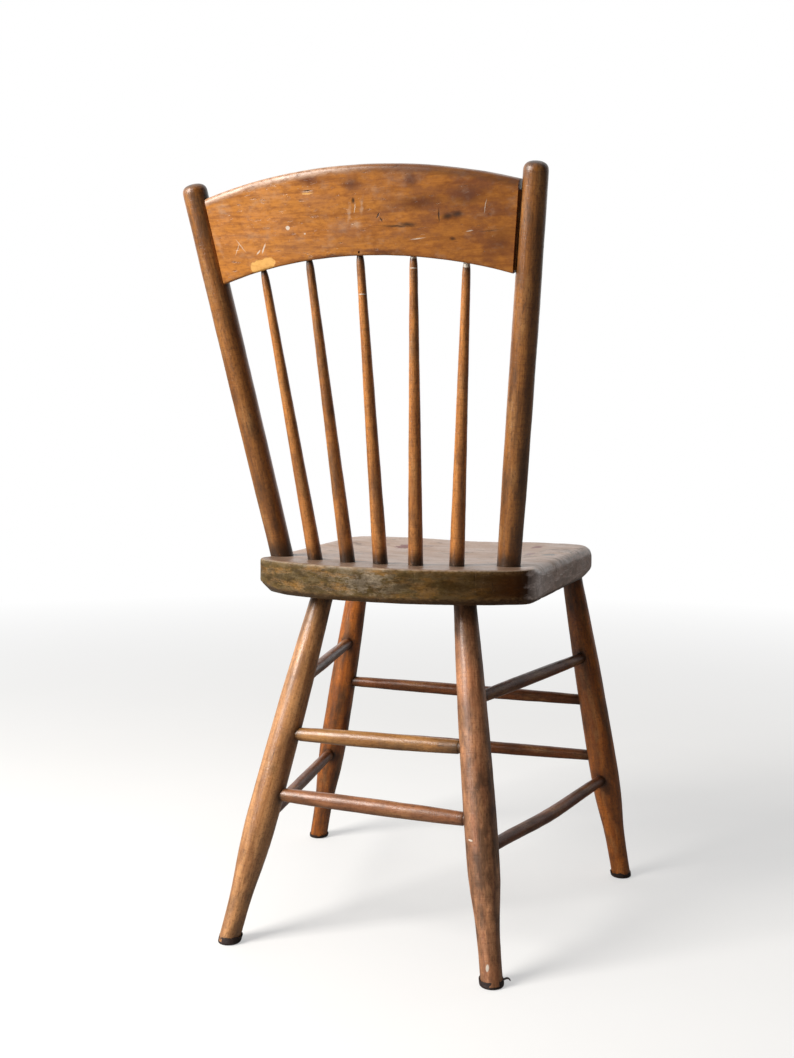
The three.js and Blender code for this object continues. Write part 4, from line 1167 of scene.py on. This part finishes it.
    def scoop(self, piece, sizes, back, layout):
        """Hollows the top with a shallow oval bowl that stops at a step before the spindles."""
        depth, wide = sizes.scoop_depth, sizes.scoop_half_width
        high = 20 * MM
        profile = [(0, -depth)] + bezier([(0, -depth), (wide / 2, -depth), (wide, 0)], 16)
        profile += [(wide, high), (0, high)]
        bowl = turned("bowl", profile, 96)
        centre = Vector((0, SEAT_LOW.y + sizes.scoop_centre, layout.deck))
        stretch = Matrix.Diagonal((1, sizes.scoop_half_length / wide, 1, 1))
        settle(bowl, Matrix.Translation(centre) @ stretch)
        middle = Matrix.Translation((0, layout.line_y - back.line_radius, layout.deck))
        limit = round_bar(middle, back.line_radius - sizes.deck_front, -2 * high, 2 * high, 256)
        combine(bowl, [limit], "INTERSECT")
        combine(piece, [bowl], "DIFFERENCE")

    def chip(self, piece):
        """Knocks small pieces off the arrises, most of them off the rear and the lower ones."""
        (low, high), (large, small) = self.arris_lean, self.chip_grains
        group = piece.vertex_groups.new(name="arris")
        for vertex in piece.data.vertices:
            lean, spot = vertex.normal.z, vertex.co
            if low < abs(lean) < high:
                rough = noise.noise(spot * large) + 0.6 * noise.noise(spot * small)
                calm = 1 if lean < 0 or spot.y > self.deck_y + 20 * MM else 0.3
                group.add([vertex.index], calm * min(1, max(0, rough - 0.36) * 2.2), "REPLACE")
        apply_modifier(piece, "DISPLACE", vertex_group="arris", strength=-1.1 * MM, mid_level=0)

    def note_zones(self, piece, back, layout, sizes):
        """Notes where the top and the right side are, a band along the rear arris for a painted highlight, and
        where dirt lies: round the sockets, and at the deck's step, where it is partly painted shade.
        """
        spots, normals = read(piece), read(piece, "normal")
        lean = normals[:, 2]
        # the right side, where the finish paints the grazing reflection of the bright room: painted reflection
        note(piece, "flank_reflection", np.clip((-normals[:, 0] - 0.6) / 0.4, 0, 1))
        height = np.clip((spots[:, 2] - layout.deck + 13 * MM) / (3 * MM), 0, 1)
        rear = spots[:, 1] > self.deck_y
        # the rear arris parts top and edge sharply, the rounded sides softly
        least, spread = np.where(rear, 0.82, 0.3), np.where(rear, 0.12, 0.45)
        note(piece, "top", np.clip((lean - least) / spread, 0, 1) * height)
        # a thin band along the rear arris, which the finish paints as a highlight
        note(piece, "painted_arris_highlight", np.clip(1.3 - np.abs(lean - 0.76) / 0.12, 0, 1) * rear * height)
        # a dark line at the deck's step: partly dirt, partly painted shade of the step
        away = np.hypot(spots[:, 0], spots[:, 1] - layout.line_y + back.line_radius)
        step = np.abs(away - (back.line_radius - sizes.deck_front))
        dirt = np.clip(1.3 - step / (2.2 * MM), 0, 1) * (np.abs(spots[:, 0]) < self.step_x) * (lean > 0.3)
        rims = [(post.foot, back.post_seat / 2) for post in layout.posts]
        rims += [(spindle.foot, back.spindle_seat / 2) for spindle in layout.spindles]
        for foot, radius in rims:
            near = np.linalg.norm(spots - np.array(foot), axis=1) - radius
            dirt = np.maximum(dirt, np.clip(1 - near / (4 * MM), 0, 1) * 0.8)
        note(piece, "grime", dirt)


class CHAIR_OT_pad_feet(Step, bpy.types.Operator):
    """Dish the four leather foot pads, tear their rims and finish the tacks"""

    bl_idname = "chair.pad_feet"
    bl_label = "Pad feet"
    # heights of the rims, and the torn strip's way out and up from its rim, in millimetres
    rims = {"rear_left": 8.4, "rear_right": 7.6, "front_left": 4.6, "front_right": 6.4}
    tongue_path = (-2.2, -1.6), (0.6, 0.2), (2.6, 0.9), (4.4, 0.6), (5.8, -0.6), (6.6, -2.1)
    tongue_out = Vector((-0.9, -0.36, 0)).normalized()

    def execute(self, context):
        layout, sizes, colours = set_out(context.scene, "chair_legs")
        leather, iron = old_leather(colours), rusted_iron(colours)
        floor, inner = sizes.pad_floor, sizes.ankle / 2 + GAP
        outer = inner + sizes.pad_rim
        for leg in layout.legs.values():
            rim = self.rims[leg.name] * MM
            profile = [(0, 0), (outer - 3 * MM, 0)]
            profile += bezier([(outer - 3 * MM, 0), (outer, 0), (outer, 3 * MM)], 5)
            profile += [(outer, rim), (inner + 0.3 * MM, rim), (inner, floor), (0, floor)]
            piece = turned(f"{leg.name}_foot_pad_worn", stationed(profile, 0.9 * MM), 56)
            centre = leg.foot.lerp(leg.tip, floor / layout.underside)
            lean = (leg.tip - leg.foot) / layout.underside
            shape = read(piece)
            around, away = np.arctan2(shape[:, 1], shape[:, 0]), np.hypot(shape[:, 0], shape[:, 1])
            lift = np.clip((shape[:, 2] - floor) / (rim - floor), 0, 1) * (away > inner - MM)
            seed = 7.1 * centre.x + 3.3 * centre.y
            torn = np.array([noise.noise((2.2 * math.cos(a), 2.2 * math.sin(a), seed * 9)) for a in around])
            fray = np.array([noise.noise((7 * math.cos(a), 7 * math.sin(a), seed * 17)) for a in around])
            shape[:, 2] += lift * (2.0 * torn + 0.7 * fray) * MM
            shape[:, 0] += lean.x * shape[:, 2] + lift * 0.4 * MM * np.abs(fray) * np.cos(around)
            shape[:, 1] += lean.y * shape[:, 2] + lift * 0.4 * MM * np.abs(fray) * np.sin(around)
            reshape(piece, shape)
            tack = Matrix.Translation((centre.x, centre.y, 0))
            settle(piece, tack)
            if leg.name == "rear_right":
                combine(piece, [self.torn_tongue(Vector((centre.x, centre.y, rim)), outer)], "UNION")
            combine(piece, [round_bar(tack, 3.9 * MM, -MM, 2 * MM, 20)], "DIFFERENCE")
            combine(piece, [round_bar(tack, 1.6 * MM, 0, 6 * MM, 12)], "DIFFERENCE")
            hand_over(piece, f"{leg.name}_foot_pad", leather)
            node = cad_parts[f"{leg.name}_foot_tack"]
            node.data.materials.clear()
            node.data.materials.append(iron)
        return {"FINISHED"}

    def torn_tongue(self, centre, outer):
        """A strip of rim that has torn loose and curls outwards."""
        tongue, out = lone_vertex("tongue"), self.tongue_out
        draw_line([centre + out * (outer + far * MM) + UP * (up * MM) for far, up in self.tongue_path])
        bpy.ops.mesh.select_all(action="SELECT")
        across = out.cross(UP) * 5.5 * MM
        bpy.ops.mesh.extrude_region_move(TRANSFORM_OT_translate={"value": across})
        bpy.ops.mesh.select_all(action="SELECT")
        bpy.ops.transform.translate(value=-across / 2)
        close_mesh()
        apply_modifier(tongue, "SOLIDIFY", thickness=1.3 * MM, offset=0)
        apply_modifier(tongue, "SUBSURF", levels=2, render_levels=2)
        return tongue


class CHAIR_OT_set_stage(Step, bpy.types.Operator):
    """Lay the floor, hang the lights and set the camera"""

    bl_idname = "chair.set_stage"
    bl_label = "Set stage"
    bright = 0.72, -0.62, 0.3  # the way to the room's bright side
    target = Vector((0, 0, 0.42))  # what the window light points at
    heading = Vector((0.64, 0.77, 0)).normalized()
    height, distance = math.radians(30), 2.1  # of the window, seen from the target
    # the photograph's camera, solved from it: focal length and long side in pixels, place and axes
    focal, long_side, sensor = 1286.19, 1058, 36
    stand = -0.541858, 1.520243 + (SEAT_LOW.y + 195 * MM), 0.60388
    right = Vector((-0.933962, -0.357311, 0.006564))
    upright = Vector((0.034937, -0.07301, 0.996719))

    def execute(self, context):
        scene = context.scene
        scene.view_settings.view_transform = "Standard"
        self.lay_floor(scene)
        self.light_room(scene)
        self.hang_window(scene)
        self.aim_camera(scene)
        return {"FINISHED"}

    def lay_floor(self, scene):
        """A pale floor that keeps the shadow and fades into the white far away."""
        bpy.ops.object.select_all(action="DESELECT")
        bpy.ops.mesh.primitive_circle_add(vertices=96, radius=30, fill_type="NGON")
        floor = bpy.context.object
        floor.name = "studio_floor"
        material, tree = blank_finish("painted_studio_floor")
        coords = add(tree, "TexCoord", out="Object")
        away = add(tree, "VectorMath", {0: coords}, out="Value", operation="LENGTH")
        far = add(tree, "MapRange", {"Value": away, "From Min": 0.9, "From Max": 3.0})
        scuff = cloudy(tree, coords, (300, 300, 300), 0.3, 0.7, 1.0)
        seen = add(tree, "LightPath", out="Is Camera Ray")
        pale = laid_over(tree, scene.chair_colours.floor, (scuff, 1, "#f4f3f1"))
        matt = add(tree, "BsdfDiffuse", {"Color": laid_over(tree, "#8c8a87", (seen, 1, pale))})
        white = add(tree, "Emission", {"Strength": 1.0})
        glow = add(tree, "MapRange", {"Value": far, "To Min": 0.44, "To Max": 1.0})
        share = merged(tree, "MULTIPLY", glow, seen)
        whole = add(tree, "MixShader", {0: share, 1: matt, 2: white})
        add(tree, "OutputMaterial", {"Surface": whole}, out=None)
        floor.data.materials.append(material)

    def light_room(self, scene):
        """A room, white to the left and beyond the chair, dim to the right and behind the camera."""
        world = bpy.data.worlds.new("white_room")
        scene.world = world
        world.use_nodes = True
        tree = world.node_tree
        tree.nodes.clear()
        aim = add(tree, "TexCoord", out="Generated")
        towards = add(tree, "VectorMath", {0: aim, 1: self.bright}, out="Value", operation="DOT_PRODUCT")
        levels = {"Value": towards, "From Min": -0.6, "From Max": 0.75, "To Min": 0.02}
        mirror = add(tree, "MapRange", levels, interpolation_type="SMOOTHSTEP")
        rays = add(tree, "LightPath", out=None)
        soft = add(tree, "Math", {0: mirror, 1: 0.7}, operation="MULTIPLY")
        shiny = merged(tree, "MAXIMUM", rays["Is Glossy Ray"], rays["Is Transmission Ray"])
        lit = add(tree, "Mix", {0: shiny, 2: soft, 3: mirror})
        shown = add(tree, "Mix", {0: rays["Is Camera Ray"], 2: lit, 3: 1.0})
        light = add(tree, "Background", {"Color": (1, 1, 1, 1), "Strength": shown})
        add(tree, "OutputWorld", {"Surface": light}, out=None)

    def hang_window(self, scene):
        """A large soft light from the left, as from a window, low enough to throw long soft shadows."""
        away = self.heading * math.cos(self.height) + UP * math.sin(self.height)
        lamp = bpy.data.lights.new("window", "AREA")
        lamp.shape = "RECTANGLE"
        lamp.size, lamp.size_y = 0.9, 1.2
        lamp.energy = 66
        lamp.color = (1.0, 0.97, 0.93)
        window = bpy.data.objects.new("window", lamp)
        scene.collection.objects.link(window)
        window.location = self.target + away * self.distance
        window.rotation_euler = away.to_track_quat("Z", "Y").to_euler()

    def aim_camera(self, scene):
        """Stands where the photograph was taken from."""
        lens = bpy.data.cameras.new("camera")
        lens.sensor_width = self.sensor
        lens.lens = self.sensor * self.focal / self.long_side
        camera = bpy.data.objects.new("camera", lens)
        scene.collection.objects.link(camera)
        axes = Matrix((self.right, self.upright, self.right.cross(self.upright))).transposed()
        camera.matrix_world = Matrix.Translation(self.stand) @ axes.to_4x4()
        scene.camera = camera


class CHAIR_PT_sidebar(bpy.types.Panel):
    """Lists the chair's sizes, colours and steps"""

    bl_label = "Weathered chair"
    bl_idname = "CHAIR_PT_sidebar"
    bl_space_type = "VIEW_3D"
    bl_region_type = "UI"
    bl_category = "Chair"

    def draw(self, context):
        scene = context.scene
        for group in (scene.chair_seat, scene.chair_back, scene.chair_legs, scene.chair_colours):
            box = self.layout.box()
            for key in group.__annotations__:
                box.prop(group, key)
        for step in STEPS:
            self.layout.operator(step.bl_idname)


STEPS = (
    CHAIR_OT_turn_legs,
    CHAIR_OT_turn_stretchers,
    CHAIR_OT_turn_posts,
    CHAIR_OT_turn_spindles,
    CHAIR_OT_bend_crest,
    CHAIR_OT_carve_seat,
    CHAIR_OT_pad_feet,
    CHAIR_OT_set_stage,
)
GROUPS = {
    "chair_seat": SeatSizes,
    "chair_back": BackSizes,
    "chair_legs": LegSizes,
    "chair_colours": ChairColours,
}


def register():
    for kind in (*GROUPS.values(), *STEPS, CHAIR_PT_sidebar):
        bpy.utils.register_class(kind)
    for name, kind in GROUPS.items():
        setattr(bpy.types.Scene, name, bpy.props.PointerProperty(type=kind))


def unregister():
    for name in GROUPS:
        delattr(bpy.types.Scene, name)
    for kind in (CHAIR_PT_sidebar, *reversed(STEPS), *reversed(GROUPS.values())):
        bpy.utils.unregister_class(kind)


def main():
    register()
    bpy.ops.chair.turn_legs()
    bpy.ops.chair.turn_stretchers()
    bpy.ops.chair.turn_posts()
    bpy.ops.chair.turn_spindles()
    bpy.ops.chair.bend_crest()
    bpy.ops.chair.carve_seat()
    bpy.ops.chair.pad_feet()
    bpy.ops.chair.set_stage()


if __name__ == "__main__":
    main()
